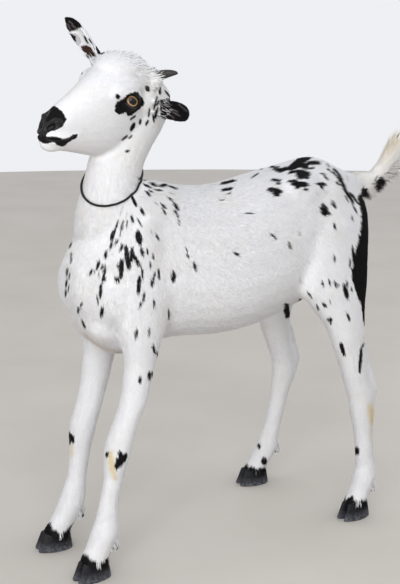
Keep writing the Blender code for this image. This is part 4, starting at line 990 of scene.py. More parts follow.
def scatter(chance, points, normals, faces, wanted):
    """Even places over triangles: each one's point, normal and triangle."""
    a, b, c = (points[faces[:, k]] for k in range(3))
    area = np.linalg.norm(np.cross(b - a, c - a), axis=1) / 2
    total = np.cumsum(area * wanted)
    count = int(total[-1])
    spots = (np.arange(count) + chance.random(count) * 0.9) / count * total[-1]
    face = np.searchsorted(total, spots).clip(0, len(faces) - 1)
    u, v = chance.random(count), chance.random(count)
    over = u + v > 1
    u, v = np.where(over, 1 - u, u), np.where(over, 1 - v, v)
    share = np.column_stack([1 - u - v, u, v])
    corner = faces[face]
    place = (points[corner] * share[:, :, None]).sum(axis=1)
    normal = (normals[corner] * share[:, :, None]).sum(axis=1)
    return place, normal / np.linalg.norm(normal, axis=1)[:, None], face


def repeated(faces, tufts, each):
    """Triangles of one tuft, repeated for many tufts, each with as many points."""
    starts = (np.arange(tufts) * each)[:, None, None]
    return (np.array(faces)[None, :, :] + starts).reshape(-1, 3)


def blade_mesh(root, normal, way, length, width, lift):
    """Points, triangles and shading normals of closed thin blades, one at each root."""
    side = np.cross(normal, way)
    half, thick = width[:, None] / 2, width[:, None] * BLADE_THICKNESS
    base = root - normal * ROOT_DEPTH
    tip = root + way * (np.cos(lift) * length)[:, None] + normal * (np.sin(lift) * length)[:, None]
    ridge = base + normal * (thick + ROOT_DEPTH)
    points = np.stack([base - side * half, base + side * half, ridge, tip], axis=1)
    faces = repeated([(0, 2, 1), (0, 3, 2), (2, 3, 1), (1, 3, 0)], len(root), 4)
    normals = normal[:, None, :] + side[:, None, :] * BLADE_TILT[None, :, None]
    normals = normals + way[:, None, :] * 0.10
    normals /= np.linalg.norm(normals, axis=2)[:, :, None]
    return points.reshape(-1, 3), faces, normals.reshape(-1, 3), 4


def hair_colours(chance, middles, parts, each):
    """Colour of every point of the tufts: the coat's at the tuft's middle, with painted shade at
    its foot.
    """
    marks = coat_marks(middles, parts)
    tone = coat_colour(middles, marks) * (1 + chance.normal(0, 0.030, len(middles)))[:, None]
    # Painted shade: each tuft darker at its foot and a little lighter toward its tip.
    along = np.array([0.90, 0.90, 0.94] + [1.03] * (each - 3))
    return np.clip((tone[:, None, :] * along[None, :, None]).reshape(-1, 3), 0, 1)


def unwrapped_hide():
    """A coarse copy of the hide, unwrapped, that gives each root its place on the map."""
    proxy = hide.copy()
    proxy.data = hide.data.copy()
    bpy.context.scene.collection.objects.link(proxy)
    coarse = proxy.modifiers.new("Coarse", "DECIMATE")
    coarse.ratio = MAP_FACES / len(proxy.data.polygons)
    apply_modifiers(proxy)
    bpy.ops.object.select_all(action="DESELECT")
    proxy.select_set(True)
    bpy.context.view_layer.objects.active = proxy
    proxy.data.uv_layers.new(name="OFBake")
    bpy.ops.object.mode_set(mode="EDIT")
    bpy.ops.mesh.select_all(action="SELECT")
    bpy.ops.uv.smart_project(angle_limit=math.radians(66), island_margin=0.004)
    bpy.ops.object.mode_set(mode="OBJECT")
    points, faces = mesh_arrays(proxy.data)
    corners = np.empty(len(proxy.data.loop_triangles) * 3, np.int32)
    proxy.data.loop_triangles.foreach_get("loops", corners)
    flat = np.empty(len(proxy.data.loops) * 2)
    proxy.data.uv_layers["OFBake"].data.foreach_get("uv", flat)
    flat = flat.reshape(-1, 2)[corners.reshape(-1, 3)]
    tree = BVHTree.FromPolygons(points.tolist(), faces.tolist())
    bpy.data.objects.remove(proxy)
    return points, faces, flat, tree


coarse_points, coarse_faces, coarse_flat, coarse_tree = unwrapped_hide()


def map_places(roots):
    """Where each root lies on the unwrapped hide."""
    found = [coarse_tree.find_nearest(Vector(p)) for p in roots]
    at = np.array([hit[0] for hit in found])
    face = np.array([hit[2] for hit in found])
    a, b, c = (coarse_points[coarse_faces[face, k]] for k in range(3))
    whole = np.cross(b - a, c - a)
    size = np.maximum((whole**2).sum(axis=1), 1e-18)
    share_b = (np.cross(at - a, c - a) * whole).sum(axis=1) / size
    share_c = (np.cross(b - a, at - a) * whole).sum(axis=1) / size
    share = np.column_stack([1 - share_b - share_c, share_b, share_c])
    return (coarse_flat[face] * share[:, :, None]).sum(axis=1)


def lay_map(piece, roots, faces, each):
    """Give each tuft a small patch of its own at its root's place on the map."""
    at = map_places(roots)
    angles = np.linspace(0, 2 * math.pi, each, endpoint=False)
    spread = np.column_stack([np.cos(angles), np.sin(angles)]) * PATCH
    flat = (np.clip(at, PATCH, 1 - PATCH)[:, None, :] + spread[None, :, :]).reshape(-1, 2)
    layer = piece.data.uv_layers.new(name="OFBake")
    layer.data.foreach_set("uv", flat[faces.ravel()].astype(np.float32).ravel())


def tuft_piece(name, roots, blades, colours, material):
    """One joined mesh of tufts, riding on the goat with its own map."""
    points, faces, normals, each = blades
    piece = new_piece(name, points, faces)
    piece.data.normals_split_custom_set_from_vertices(normals.astype(np.float32))
    store_colour(piece, colours)
    lay_map(piece, roots, faces, each)
    piece.data.materials.append(material)
    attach(piece, "root")
    return piece


short_hair = hair_finish("Short hair", 1500.0, 0.60, 0.25)
chance = np.random.default_rng(COAT_SEED)
face_parts = hide_parts[hide_faces[:, 0]]
face_middle = hide_points[hide_faces].mean(axis=1)
face_normal = hide_normals[hide_faces].mean(axis=1)
bare = nose_faces | ((face_normal[:, 2] < -0.6) & (face_middle[:, 2] < 0.05))
for side in (1, -1):
    out = np.array(eye_axes(side)[0])
    away = face_middle - np.array(eye_centre(side))
    bare |= (np.linalg.norm(away, axis=1) < BARE_ROUND_EYE) & (away @ out > BARE_BEHIND_EYE)

for region, (names, density, length, width, lift) in COAT_REGIONS.items():
    chosen = np.isin(face_parts, [PARTS.index(n) for n in names]) & ~bare
    root, normal, face = scatter(chance, hide_points, hide_normals, hide_faces[chosen], density)
    part = face_parts[chosen][face]
    way = lie_of_hair(root, normal, part)
    swing = chance.normal(0, HAIR_SWING, len(root))[:, None]
    way = way * np.cos(swing) + np.cross(normal, way) * np.sin(swing)
    size = 1 + chance.normal(0, SIZE_SPREAD, len(root)).clip(-0.4, 0.4)
    if region == "neck":
        off_head = np.linalg.norm(root - head_middle, axis=1)
        size *= 0.62 + 0.38 * smooth_step(off_head, 0.09, 0.15)
    if region == "head":
        size *= 0.50 + 0.50 * smooth_step(head_frame(root)[:, 1], -0.105, 0.0)
        size *= 0.6 + 0.4 * smooth_step(path_distance(root, mouth)[0], *LIPS_CLEAR)
    if region == "ears":
        tips = [np.array(on_head(*tip)) for _, tip in EARS.values()]
        from_tip = np.min([np.linalg.norm(root - tip, axis=1) for tip in tips], axis=0)
        size *= 0.45 + 0.55 * smooth_step(from_tip, 0.004, 0.022)
    rise = np.radians(lift) * (1 + chance.normal(0, LIFT_SPREAD, len(root)).clip(-0.6, 0.6))
    pieces = math.ceil(len(root) * 4 / MOST_TRIANGLES)
    order = np.argsort(root[:, 0] + root[:, 1] * 0.001, kind="stable")
    for k, some in enumerate(np.array_split(order, pieces)):
        long, wide = length * size[some], width * (0.7 + 0.3 * size[some])
        blades = blade_mesh(root[some], normal[some], way[some], long, wide, rise[some])
        middles = root[some] + way[some] * long[:, None] * 0.5
        colours = hair_colours(chance, middles, part[some], 4)
        tuft_piece(f"Coat.{region}.{k + 1}", root[some], blades, colours, short_hair)


# The tail stands up. Short hair lies on its root, longer and finer hair rises from
# its end and falls to both sides, white to cream with a yellow tinge in front, and
# black tufts hang under it.
TAIL_LOCKS, TAIL_SEED, LOCK_STEPS = 3000, 7, 5
TAIL_BLACK = [
    [(374, 186), (376, 180), (380, 176), (384, 177), (388, 186), (385, 192), (378, 194)],
    [(358, 191), (362, 187), (367, 188), (371, 196), (368, 203), (360, 203)],
]
TAIL_HAIR_LENGTH, END_EXTRA, UNDER_EXTRA = 0.013, 0.037, 0.012
YELLOW_IN_FRONT, YELLOW_ANYWHERE = 0.30, 0.08
WHITE_SHARE, CREAM_SHARE = 0.55, 0.45


def unit_rows(ways):
    """Ways, each made one long."""
    return ways / np.linalg.norm(ways, axis=1)[:, None]


def lock_mesh(root, normal, start_way, end_way, length, width):
    """Points, triangles and normals of long pointed locks that bend from one way to another."""
    shares = np.linspace(0, 1, LOCK_STEPS)
    middle, rows, ways = root.copy(), [], []
    for t in shares:
        way = unit_rows(start_way * (1 - t) ** 1.5 + end_way * (1 - (1 - t) ** 1.5))
        ways.append(way)
        rows.append(middle.copy())
        middle = middle + way * (length / (LOCK_STEPS - 1))[:, None]
    points, normals = [], []
    for k, t in enumerate(shares[:-1]):
        side = np.cross(normal, ways[k])
        side /= np.maximum(np.linalg.norm(side, axis=1), 1e-6)[:, None]
        over = np.cross(ways[k], side)
        half = (width * (0.6 + 0.4 * math.sin(math.pi * min(t + 0.25, 1.0))) / 2)[:, None]
        points += [rows[k] - side * half, rows[k] + side * half, rows[k] + over * half * 0.6]
        facing = normal * 0.8 + over * 0.5
        normals += [facing - side * 0.25, facing + side * 0.25, facing]
    points.append(rows[-1])
    normals.append(normal + over * 0.4)
    faces = [(0, 2, 1)]
    for k in range(LOCK_STEPS - 2):
        a, b = 3 * k, 3 * (k + 1)
        for near, far in ((0, 2), (2, 1), (1, 0)):
            faces += [(a + near, b + near, b + far), (a + near, b + far, a + far)]
    last, tip = 3 * (LOCK_STEPS - 2), 3 * (LOCK_STEPS - 1)
    faces += [(last, tip, last + 2), (last + 2, tip, last + 1), (last + 1, tip, last)]
    points, normals = np.stack(points, axis=1), np.stack(normals, axis=1)
    normals /= np.linalg.norm(normals, axis=2)[:, :, None]
    each = points.shape[1]
    all_faces = repeated(faces, len(root), each)
    return points.reshape(-1, 3), all_faces, normals.reshape(-1, 3), each


chance = np.random.default_rng(TAIL_SEED)
tail_line = np.array([on_goat(0, y, z) for y, z, depth, width in TAIL_BONE])
on_tail = (hide_parts == PARTS.index("tail"))[hide_faces].all(axis=1)
tail_faces = hide_faces[on_tail]
a, b, c = (hide_points[tail_faces[:, k]] for k in range(3))
tail_area = np.linalg.norm(np.cross(b - a, c - a), axis=1).sum() / 2
root, normal, face = scatter(chance, hide_points, hide_normals, tail_faces, TAIL_LOCKS / tail_area)
count = len(root)
share = path_distance(root, tail_line)[1]
station = share * (len(tail_line) - 1)
low = np.floor(station).astype(int).clip(0, len(tail_line) - 2)
along = unit_rows(np.gradient(tail_line, axis=0))
way = along[low] * (1 - (station - low))[:, None] + along[low + 1] * (station - low)[:, None]
way = unit_rows(way)
top_side = (normal * np.cross(np.array((1.0, 0, 0)), way)).sum(axis=1)
toward_end = smooth_step(share, 0.38, 0.80)
below = smooth_step(-top_side, 0.25, 0.8) * (1 - smooth_step(share, 0.62, 0.85))
rise = np.radians(40 + 27 * top_side + chance.normal(0, 7, count))
fan = np.column_stack([normal[:, 0] * 0.22, np.cos(rise), np.sin(rise)])
hang = np.column_stack([normal[:, 0] * 0.2, np.full(count, 0.55), np.full(count, -0.80)])
end_way = way * (1 - toward_end)[:, None] + fan * toward_end[:, None]
end_way = end_way * (1 - below)[:, None] + hang * below[:, None]
end_way = unit_rows(end_way + chance.normal(0, 0.07, end_way.shape))
lifted = way + normal * (0.16 + 0.20 * toward_end + 0.25 * below)[:, None]
start_way = unit_rows(lifted + chance.normal(0, 0.06, way.shape))
length = TAIL_HAIR_LENGTH + END_EXTRA * toward_end + UNDER_EXTRA * below
length = length * chance.uniform(0.8, 1.15, count)
width = chance.uniform(0.0009, 0.0015, count)
blades = lock_mesh(root, normal, start_way, end_way, length, width)
each = blades[3]
front = smooth_step((normal * np.array((0, -0.55, 0.6))).sum(axis=1), -0.1, 0.6)
front = front * smooth_step(share, 0.45, 0.75)
tone = WHITE_HAIR * WHITE_SHARE + CREAM_HAIR * CREAM_SHARE
amount = (front * YELLOW_IN_FRONT + YELLOW_ANYWHERE * chance.random(count))[:, None]
colour = tone * (1 - amount) + YELLOW_HAIR * amount
colour = colour * (1 + chance.normal(0, 0.03, count))[:, None]
# Painted shade: each lock darker at its root and lighter toward its end.
painted_shade_along = np.linspace(0.93, 1.03, each)
colours = np.clip((colour[:, None, :] * painted_shade_along[None, :, None]).reshape(-1, 3), 0, 1)
folded = blades[0] - np.array(fore_hooves)
folded[:, 0] = np.abs(folded[:, 0])
column, row, _ = picture_place(folded + np.array(fore_hooves))
jitter = np.repeat(chance.normal(0, 1.2, count), each)
for outline in TAIL_BLACK:
    blackened = inside_outline(column + jitter, row + jitter, outline)
    colours[blackened & np.repeat(top_side < 0.25, each)] = BLACK_HAIR
tail_coat = tuft_piece("Coat.tail.1", root, blades, colours, short_hair)
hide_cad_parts("tail")


# The eyes are amber, with a dark bar-shaped pupil that lies level. Each ball is
# clear and wet in front, and black lids with a rim wrap round it.
IRIS_REACH, IRIS_FLATNESS, PUPIL_LONG, PUPIL_HIGH = 0.0112, 1.28, 0.0064, 0.0042
PUPIL_SQUARENESS = 2.6
# Colours of the iris, from near its middle out to its dark rim.
IRIS_TONES = (
    (0.46, (0.045, 0.020, 0.011)), (0.58, (0.20, 0.095, 0.042)), (0.70, (0.50, 0.30, 0.14)),
    (0.92, (0.66, 0.44, 0.23)), (1.0, (0.012, 0.008, 0.006)),
)
# Section of the lids: size over the ball's opening, and how far off the ball.
LID_PROFILE = [
    (0.88, 0.0002), (0.91, 0.0011), (0.96, 0.0018), (1.03, 0.0022), (1.11, 0.0021),
    (1.20, 0.0014), (1.32, 0.0000), (1.32, -0.0018), (1.10, -0.0014), (0.90, -0.0007),
]
LID_HALF_LONG, LID_HALF_HIGH, LID_STEPS = 0.0119, 0.0092, 64
UPPER_LID, LOWER_LID, LID_CORNER, BROW_FULLNESS = 0.90, 0.88, 1.06, 0.35


def eye_finish():
    """Amber iris with fine rays round a dark oval pupil, under a clear wet coat."""
    made, tree, shader = new_finish("Amber eye")
    place = add_node(tree, "TexCoord", {}).outputs["Object"]
    parts = add_node(tree, "SeparateXYZ", {"Vector": place}).outputs

    def maths(kind, *values):
        node = add_node(tree, "Math", dict(enumerate(values)))
        node.operation = kind
        return node.outputs[0]

    def pupil_share(along, half):
        return maths("POWER", maths("ABSOLUTE", maths("DIVIDE", along, half)), PUPIL_SQUARENESS)

    pupil = maths("ADD", pupil_share(parts["X"], PUPIL_LONG), pupil_share(parts["Y"], PUPIL_HIGH))
    high = maths("MULTIPLY", parts["Y"], IRIS_FLATNESS)
    square_long = maths("POWER", maths("ABSOLUTE", parts["X"]), 2.0)
    square_high = maths("POWER", maths("ABSOLUTE", high), 2.0)
    reach = maths("SQRT", maths("ADD", square_long, square_high))
    streaks = add_node(tree, "TexNoise", {"Vector": place, "Scale": 900.0, "Detail": 5})
    ray = maths("MULTIPLY", maths("SUBTRACT", streaks.outputs["Fac"], 0.5), 0.0020)
    iris = tone_ramp(tree, maths("DIVIDE", maths("ADD", reach, ray), IRIS_REACH), IRIS_TONES)
    edge = add_node(tree, "MapRange", {"Value": pupil, "From Min": 0.8, "From Max": 1.25})
    dark = add_node(tree, "Mix", {})
    dark.data_type = "RGBA"
    set_inputs(tree, dark, {
        "Factor": edge.outputs["Result"], 6: (0.003, 0.003, 0.004, 1), 7: iris})
    set_inputs(tree, shader, {
        "Base Color": dark.outputs[2], "Roughness": 0.12, "Specular IOR Level": 0.10,
        "Coat Weight": 0.6, "Coat Roughness": 0.02})
    return made


def ball_points(radius, rows, around):
    """Points and triangles of a smooth ball about its own middle, poles along Z."""
    rings = []
    for i in range(1, rows):
        fall = math.pi * i / rows
        wide, high = math.sin(fall), math.cos(fall)
        rings.append([Vector((math.cos(a) * wide, math.sin(a) * wide, high)) * radius
                      for a in turns(around)])
    points, faces = ring_loft(rings)
    points[-2], points[-1] = (0, 0, radius), (0, 0, -radius)
    return points, faces


def closed_band(rings, across, flip):
    """Triangles of a skin that closes on itself both along and round its rings."""
    faces = []
    for i in range(rings):
        for k in range(across):
            a, b = i * across + k, i * across + (k + 1) % across
            d, c = ((i + 1) % rings * across + k, (i + 1) % rings * across + (k + 1) % across)
            faces += [(a, b, c), (a, c, d)] if flip else [(a, c, b), (a, d, c)]
    return np.array(faces)


def lid_points(side):
    """Closed rim of both lids round one eye: thin at the ball, full over the brow side."""
    centre = eye_centre(side)
    out, slit, up = eye_axes(side)
    points = []
    for a in turns(LID_STEPS):
        s, c = math.sin(a), math.cos(a)
        high = s * abs(s) ** 0.15 * LID_HALF_HIGH * (UPPER_LID if s > 0 else LOWER_LID)
        long = c * LID_HALF_LONG * (LID_CORNER if c < 0 else 1.0)
        full = 1.0 + BROW_FULLNESS * max(s, 0.0)
        for size, rise in LID_PROFILE:
            angle_long, angle_high = long * size / EYE_RADIUS, high * size / EYE_RADIUS
            tip = math.hypot(angle_long, angle_high)
            tangent = (slit * angle_long + up * angle_high) / max(tip, 1e-6)
            way = out * math.cos(tip) + tangent * math.sin(tip)
            points.append(centre + way * (EYE_RADIUS + rise * (full if rise > 0.001 else 1.0)))
    return np.array(points), closed_band(LID_STEPS, len(LID_PROFILE), side < 0)


def plain_finish(name, low, high, scale, roughness, bump, stretch=(1, 1, 1)):
    """Hard or bare surface whose colour and polish wander between two tones."""
    made, tree, shader = new_finish(name)
    place = add_node(tree, "TexCoord", {}).outputs["Object"]
    drawn = add_node(tree, "Mapping", {"Vector": place, "Scale": stretch}).outputs["Vector"]
    grain = add_node(tree, "TexNoise", {"Vector": drawn, "Scale": scale, "Detail": 6})
    grain = grain.outputs["Fac"]
    polish = add_node(tree, "MapRange", {
        "Value": grain, "To Min": roughness - 0.1, "To Max": roughness + 0.15})
    raised = add_node(tree, "Bump", {"Height": grain, "Strength": bump, "Distance": 0.0004})
    set_inputs(tree, shader, {
        "Base Color": tone_ramp(tree, grain, ((0.32, low), (0.70, high))),
        "Roughness": polish.outputs["Result"], "Normal": raised.outputs["Normal"]})
    return made


amber_eye = eye_finish()
lid_skin = plain_finish(
    "Black lid skin", (0.008, 0.007, 0.007), (0.022, 0.019, 0.018), 900.0, 0.42, 0.4)
for name, side in (("eye_left", 1), ("eye_right", -1)):
    out, slit, up = eye_axes(side)
    eyeball = new_piece("Eyeball." + name[4:], *ball_points(EYE_RADIUS - 0.0001, 40, 64))
    turned = Matrix([slit, up, slit.cross(up)]).transposed().to_4x4()
    eyeball.matrix_world = Matrix.Translation(eye_centre(side)) @ turned
    eyeball.data.materials.append(amber_eye)
    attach(eyeball, "root")
    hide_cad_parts(name)
    lids = new_piece("Eyelids." + name[4:], *lid_points(side))
    lids.data.materials.append(lid_skin)
    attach(lids, "root")


# Long hairs, pale and black, grow inside the ears, across the opening, and short
# black lashes stand along the upper lids. Both are thin pointed locks, rooted in
# the skin of the ear and of the lid.
EAR_OPENINGS = {"ear_left": (0.2, -1.0, -0.2), "ear_right": (-0.3, -1.0, -0.2)}
EAR_HAIRS = {"ear_left": 70, "ear_right": 34}
EAR_HAIR_WIDTH, EAR_HAIR_FROM, EAR_HAIR_TO = 0.0007, 0.004, 0.040
LASHES, LASH_WIDTH, LASH_INSET, EAR_SEED = 26, 0.0004, 0.97, 11
chance = np.random.default_rng(EAR_SEED)
for name, (ear_root, ear_tip) in EARS.items():
    along = np.array((on_head(*ear_tip) - on_head(*ear_root)).normalized())
    opening = np.array((head_turn @ Vector(EAR_OPENINGS[name])).normalized())
    from_root = (hide_points - np.array(on_head(*ear_root))) @ along
    inner = (hide_parts == PARTS.index(name)) & (hide_normals @ opening > 0.25)
    inner &= (from_root > EAR_HAIR_FROM) & (from_root < EAR_HAIR_TO)
    count = EAR_HAIRS[name]
    spots = chance.choice(np.nonzero(inner)[0], count)
    root, normal = hide_points[spots], hide_normals[spots]
    lean = np.cross(along, opening) * chance.choice((-1, 1), count)[:, None] * 0.35
    start_way = along * 0.8 + normal * 0.25 + chance.normal(0, 0.08, root.shape)
    end_way = along * 0.9 + lean + opening * 0.05 + chance.normal(0, 0.08, root.shape)
    blades = lock_mesh(root, normal, unit_rows(start_way), unit_rows(end_way),
                       chance.uniform(0.010, 0.017, count), np.full(count, EAR_HAIR_WIDTH))
    tone = np.where(chance.random(count)[:, None] < 0.55, WHITE_HAIR * 0.85, BLACK_HAIR)
    colours = np.repeat(tone, blades[3], axis=0)
    tuft_piece(f"Coat.{name}.inside", root, blades, colours, short_hair)
for name, side in (("left", 1), ("right", -1)):
    out, slit, up = (np.array(axis) for axis in eye_axes(side))
    turn = np.linspace(0.14, 0.86, LASHES) * math.pi + chance.normal(0, 0.02, LASHES)
    long = np.cos(turn) * LID_HALF_LONG * LASH_INSET / EYE_RADIUS
    high = np.sin(turn) ** 1.15 * LID_HALF_HIGH * UPPER_LID * LASH_INSET / EYE_RADIUS
    tip = np.hypot(long, high)
    tangent = (slit * long[:, None] + up * high[:, None]) / tip[:, None]
    way = out * np.cos(tip)[:, None] + tangent * np.sin(tip)[:, None]
    root = np.array(eye_centre(side)) + way * (EYE_RADIUS + 0.0018)
    start_way = out * 0.9 + way * 0.4 + chance.normal(0, 0.08, root.shape)
    end_way = out * 0.6 + tangent * 0.9 + chance.normal(0, 0.08, root.shape)
    blades = lock_mesh(root, up[None, :] + 0 * root, unit_rows(start_way), unit_rows(end_way),
                       chance.uniform(0.0045, 0.0065, LASHES), np.full(LASHES, LASH_WIDTH))
    colours = np.repeat(BLACK_HAIR[None, :], len(root) * blades[3], axis=0)
    tuft_piece(f"Lashes.{name}", root, blades, colours, short_hair)


# The horns are short stubs of dark grey-brown horn, grown in rings, that curve
# back and out from the top of the head. Each is a loft of rings that stays
# within its solid.
HORN_START, HORN_RUN, HORN_BEND = (0.022, 0.052, 0.0276), (0.034, 0.026, 0.030), 0.010
HORN_RADIUS, HORN_TIP, HORN_SLIMNESS = 0.0075, 0.0012, 0.36
HORN_RINGS, HORN_SIDES = 49, 36
horn_finish = plain_finish(
    "Horn", (0.006, 0.005, 0.005), (0.036, 0.029, 0.026), 300.0, 0.50, 0.5, stretch=(1, 1, 2.5))
for name, side in (("horn_left", 1), ("horn_right", -1)):
    rings = []
    for step in range(HORN_RINGS):
        t = step / (HORN_RINGS - 1)
        x, y, z = (a + b * t for a, b in zip(HORN_START, HORN_RUN))
        middle = on_head(side * x, y, z - HORN_BEND * t * t)
        run = head_turn @ Vector((side * HORN_RUN[0], HORN_RUN[1], HORN_RUN[2] - 2 * HORN_BEND * t))
        across = run.cross(Vector((0, 0, 1))).normalized()
        rise = across.cross(run).normalized()
        whole = HORN_RADIUS * math.sqrt(1 - t**4) * (1 - 0.2 * t) + HORN_TIP
        radius = whole * (1 - HORN_SLIMNESS * t * t)
        middle += rise * (whole - radius) * 0.8
        ridge = 1 + 0.035 * math.sin(t * 44) * (1 - t) + 0.015 * math.sin(t * 97 + 1.0)
        rings.append([middle + (across * math.cos(a) + rise * math.sin(a)) * radius * ridge
                      for a in turns(HORN_SIDES)])
    horn = new_piece("Horn." + name[5:], *ring_loft(rings[::-1]))
    horn.data.materials.append(horn_finish)
    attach(horn, "root")
    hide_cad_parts(name)


# Longer hair stands ruffled on the poll and before the far ear, wraps the feet of
# the horns, hangs as a fringe over the hooves and half hides the dewclaws. It is
# made of the same pointed locks as the tail, in the coat's own colours.
POLL_LOCKS, TEMPLE_LOCKS, HORN_LOCKS, FRINGE_LOCKS, FETLOCK_LOCKS = 700, 260, 130, 260, 150
POLL_MIDDLE, POLL_STRETCH, POLL_REACH = (0.004, 0.030, 0.052), (1.0, 1.15, 1.0), 0.025
TEMPLE_MIDDLE, TEMPLE_REACH = (-0.040, 0.020, 0.030), 0.0085
HORN_FOOT_WAY, HORN_FOOT_RISE = (0.25, 0.2, 0.25), 0.018
# Bands in which hair grows: how far from the horn's foot, over the hoof's edge or
# from the dewclaw, and how wide.
HORN_BAND, FRINGE_BAND, FETLOCK_BAND = (0.011, 0.0035), (0.0060, 0.0028), (0.010, 0.004)
FRINGE_SECTORS, LONGER_SEED = 36, 19
chance = np.random.default_rng(LONGER_SEED)


def growing(wanted, count, unruliness):
    """Points of the hide picked by how much each is wanted, their normals, and a random ruffle."""
    spots = chance.choice(len(hide_points), count, p=wanted / wanted.sum())
    return spots, hide_normals[spots], chance.normal(0, unruliness, (count, 3))


def longer_hair(name, spots, start_way, end_way, lengths, widths):
    """A piece of locks of random length and width, with the coat's own colour at their roots."""
    root, normal, count = hide_points[spots], hide_normals[spots], len(spots)
    length, width = chance.uniform(*lengths, count), chance.uniform(*widths, count)
    blades = lock_mesh(root, normal, unit_rows(start_way), unit_rows(end_way), length, width)
    tone = coat_colour(root, hide_marks[spots]) * (1 + chance.normal(0, 0.03, count))[:, None]
    colours = np.clip(np.repeat(tone, blades[3], axis=0), 0, 1)
    tuft_piece(name, root, blades, colours, short_hair)


on_hide = head_frame(hide_points)
of_head = hide_parts == PARTS.index("head")
poll_gap = np.linalg.norm((on_hide - np.array(POLL_MIDDLE)) / np.array(POLL_STRETCH), axis=1)
spots, normal, ruffle = growing(swell(poll_gap, POLL_REACH) * of_head, POLL_LOCKS, 0.22)
lie = lie_of_hair(hide_points[spots], normal, hide_parts[spots])
longer_hair("Coat.poll", spots, lie + normal * 0.30 + ruffle * 0.6,
            lie + normal * 0.12 + ruffle * 1.2, (0.006, 0.012), (0.0009, 0.0015))
temple_gap = np.linalg.norm(on_hide - np.array(TEMPLE_MIDDLE), axis=1)
spots, normal, ruffle = growing(swell(temple_gap, TEMPLE_REACH) * of_head, TEMPLE_LOCKS, 0.12)
lie = lie_of_hair(hide_points[spots], normal, hide_parts[spots])
longer_hair("Coat.temple", spots, lie * 0.5 + normal + ruffle,
            lie + normal * 0.3 + ruffle, (0.009, 0.013), (0.0008, 0.0013))
for side, name in ((1, "left"), (-1, "right")):
    foot_of_horn = np.array(to_side(side, HORN_START))
    foot_of_horn = foot_of_horn + np.array(to_side(side, HORN_FOOT_WAY)) * HORN_FOOT_RISE
    off_ring = np.linalg.norm(on_hide - foot_of_horn, axis=1) - HORN_BAND[0]
    spots, normal, ruffle = growing(swell(off_ring, HORN_BAND[1]) * of_head, HORN_LOCKS, 0.12)
    rise = (HORN_RUN[0], HORN_RUN[1], HORN_RUN[2] * 0.8)
    along = unit_rows(np.array([head_turn @ Vector(to_side(side, rise))]))[0]
    longer_hair(f"Coat.horn.{name}", spots, along + normal * 0.15 + ruffle,
                along - normal * 0.10 + ruffle, (0.008, 0.012), (0.0008, 0.0012))
for foot in FEET:
    own_leg = hide_parts == PARTS.index("leg_" + foot)
    away = from_hoof(hide_points, foot)
    gap = np.maximum(np.linalg.norm(away, axis=1), 1e-6)
    toward = np.column_stack([away / gap[:, None], np.zeros(len(away))])
    heights = hide_points[:, 2]
    round_foot = (np.arctan2(toward[:, 1], toward[:, 0]) + math.pi) / (2 * math.pi)
    sector = np.floor(round_foot * (FRINGE_SECTORS - 0.001)).astype(int)
    lowest = np.full(FRINGE_SECTORS, 9.0)
    np.minimum.at(lowest, sector, np.where(own_leg, heights, 9.0))
    lowest = np.minimum(lowest, (np.roll(lowest, 1) + np.roll(lowest, -1)) / 2)
    off_edge = heights - lowest[sector] - FRINGE_BAND[0]
    wanted = own_leg * swell(off_edge, FRINGE_BAND[1]) * (hide_normals[:, 2] > -0.5)
    spots, normal, ruffle = growing(wanted, FRINGE_LOCKS, 0.06)
    down = np.array((0.0, 0.0, -1.0)) + toward[spots] * 0.10
    longer_hair(f"Coat.fringe.{foot}", spots, down + normal * 0.22 + ruffle,
                down + toward[spots] * 0.12 + ruffle, (0.0085, 0.0135), (0.0008, 0.0012))
    buds = [sum(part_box(f"dewclaw_{foot}_{half}"), Vector()) / 2 for half in ("outer", "inner")]
    bud_gap = np.min([np.linalg.norm(hide_points - np.array(bud), axis=1) for bud in buds], axis=0)
    wanted = own_leg * swell(bud_gap - FETLOCK_BAND[0], FETLOCK_BAND[1])
    wanted = wanted * smooth_step(heights - buds[0].z, 0.000, 0.006)
    spots, normal, ruffle = growing(wanted, FETLOCK_LOCKS, 0.07)
    down = np.array((0.0, 0.35, -1.0))
    longer_hair(f"Coat.fetlock.{foot}", spots, down * 0.8 + normal * 0.6 + ruffle,
                down - normal * 0.25 + ruffle, (0.011, 0.0155), (0.0010, 0.0015))


# Each hoof has two claws of dark slate horn with faint rings of growth, paler in
# patches toward the floor. A claw is a loft of flat rings, from its level sole up
# to the sloping edge of the hair.
HOOF_LENGTH, CLAW_WIDTH, CLAW_INNER, CLEFT, GAP = 0.058, 0.0192, 0.0073, 0.0018, 0.0003
CORONET_FRONT, CORONET_BACK, TOE_TAPER, CLAW_SIDES = 0.034, 0.017, 0.34, 48
# Share of the height, size of the ring there, and how far back it lies.
CLAW_LEVELS = (
    (0.00, 0.955, 0.0000), (0.02, 0.985, 0.0000), (0.08, 1.00, 0.0000),
    (0.50, 0.90, 0.0024), (0.93, 0.80, 0.0044), (1.00, 0.74, 0.0048),
)


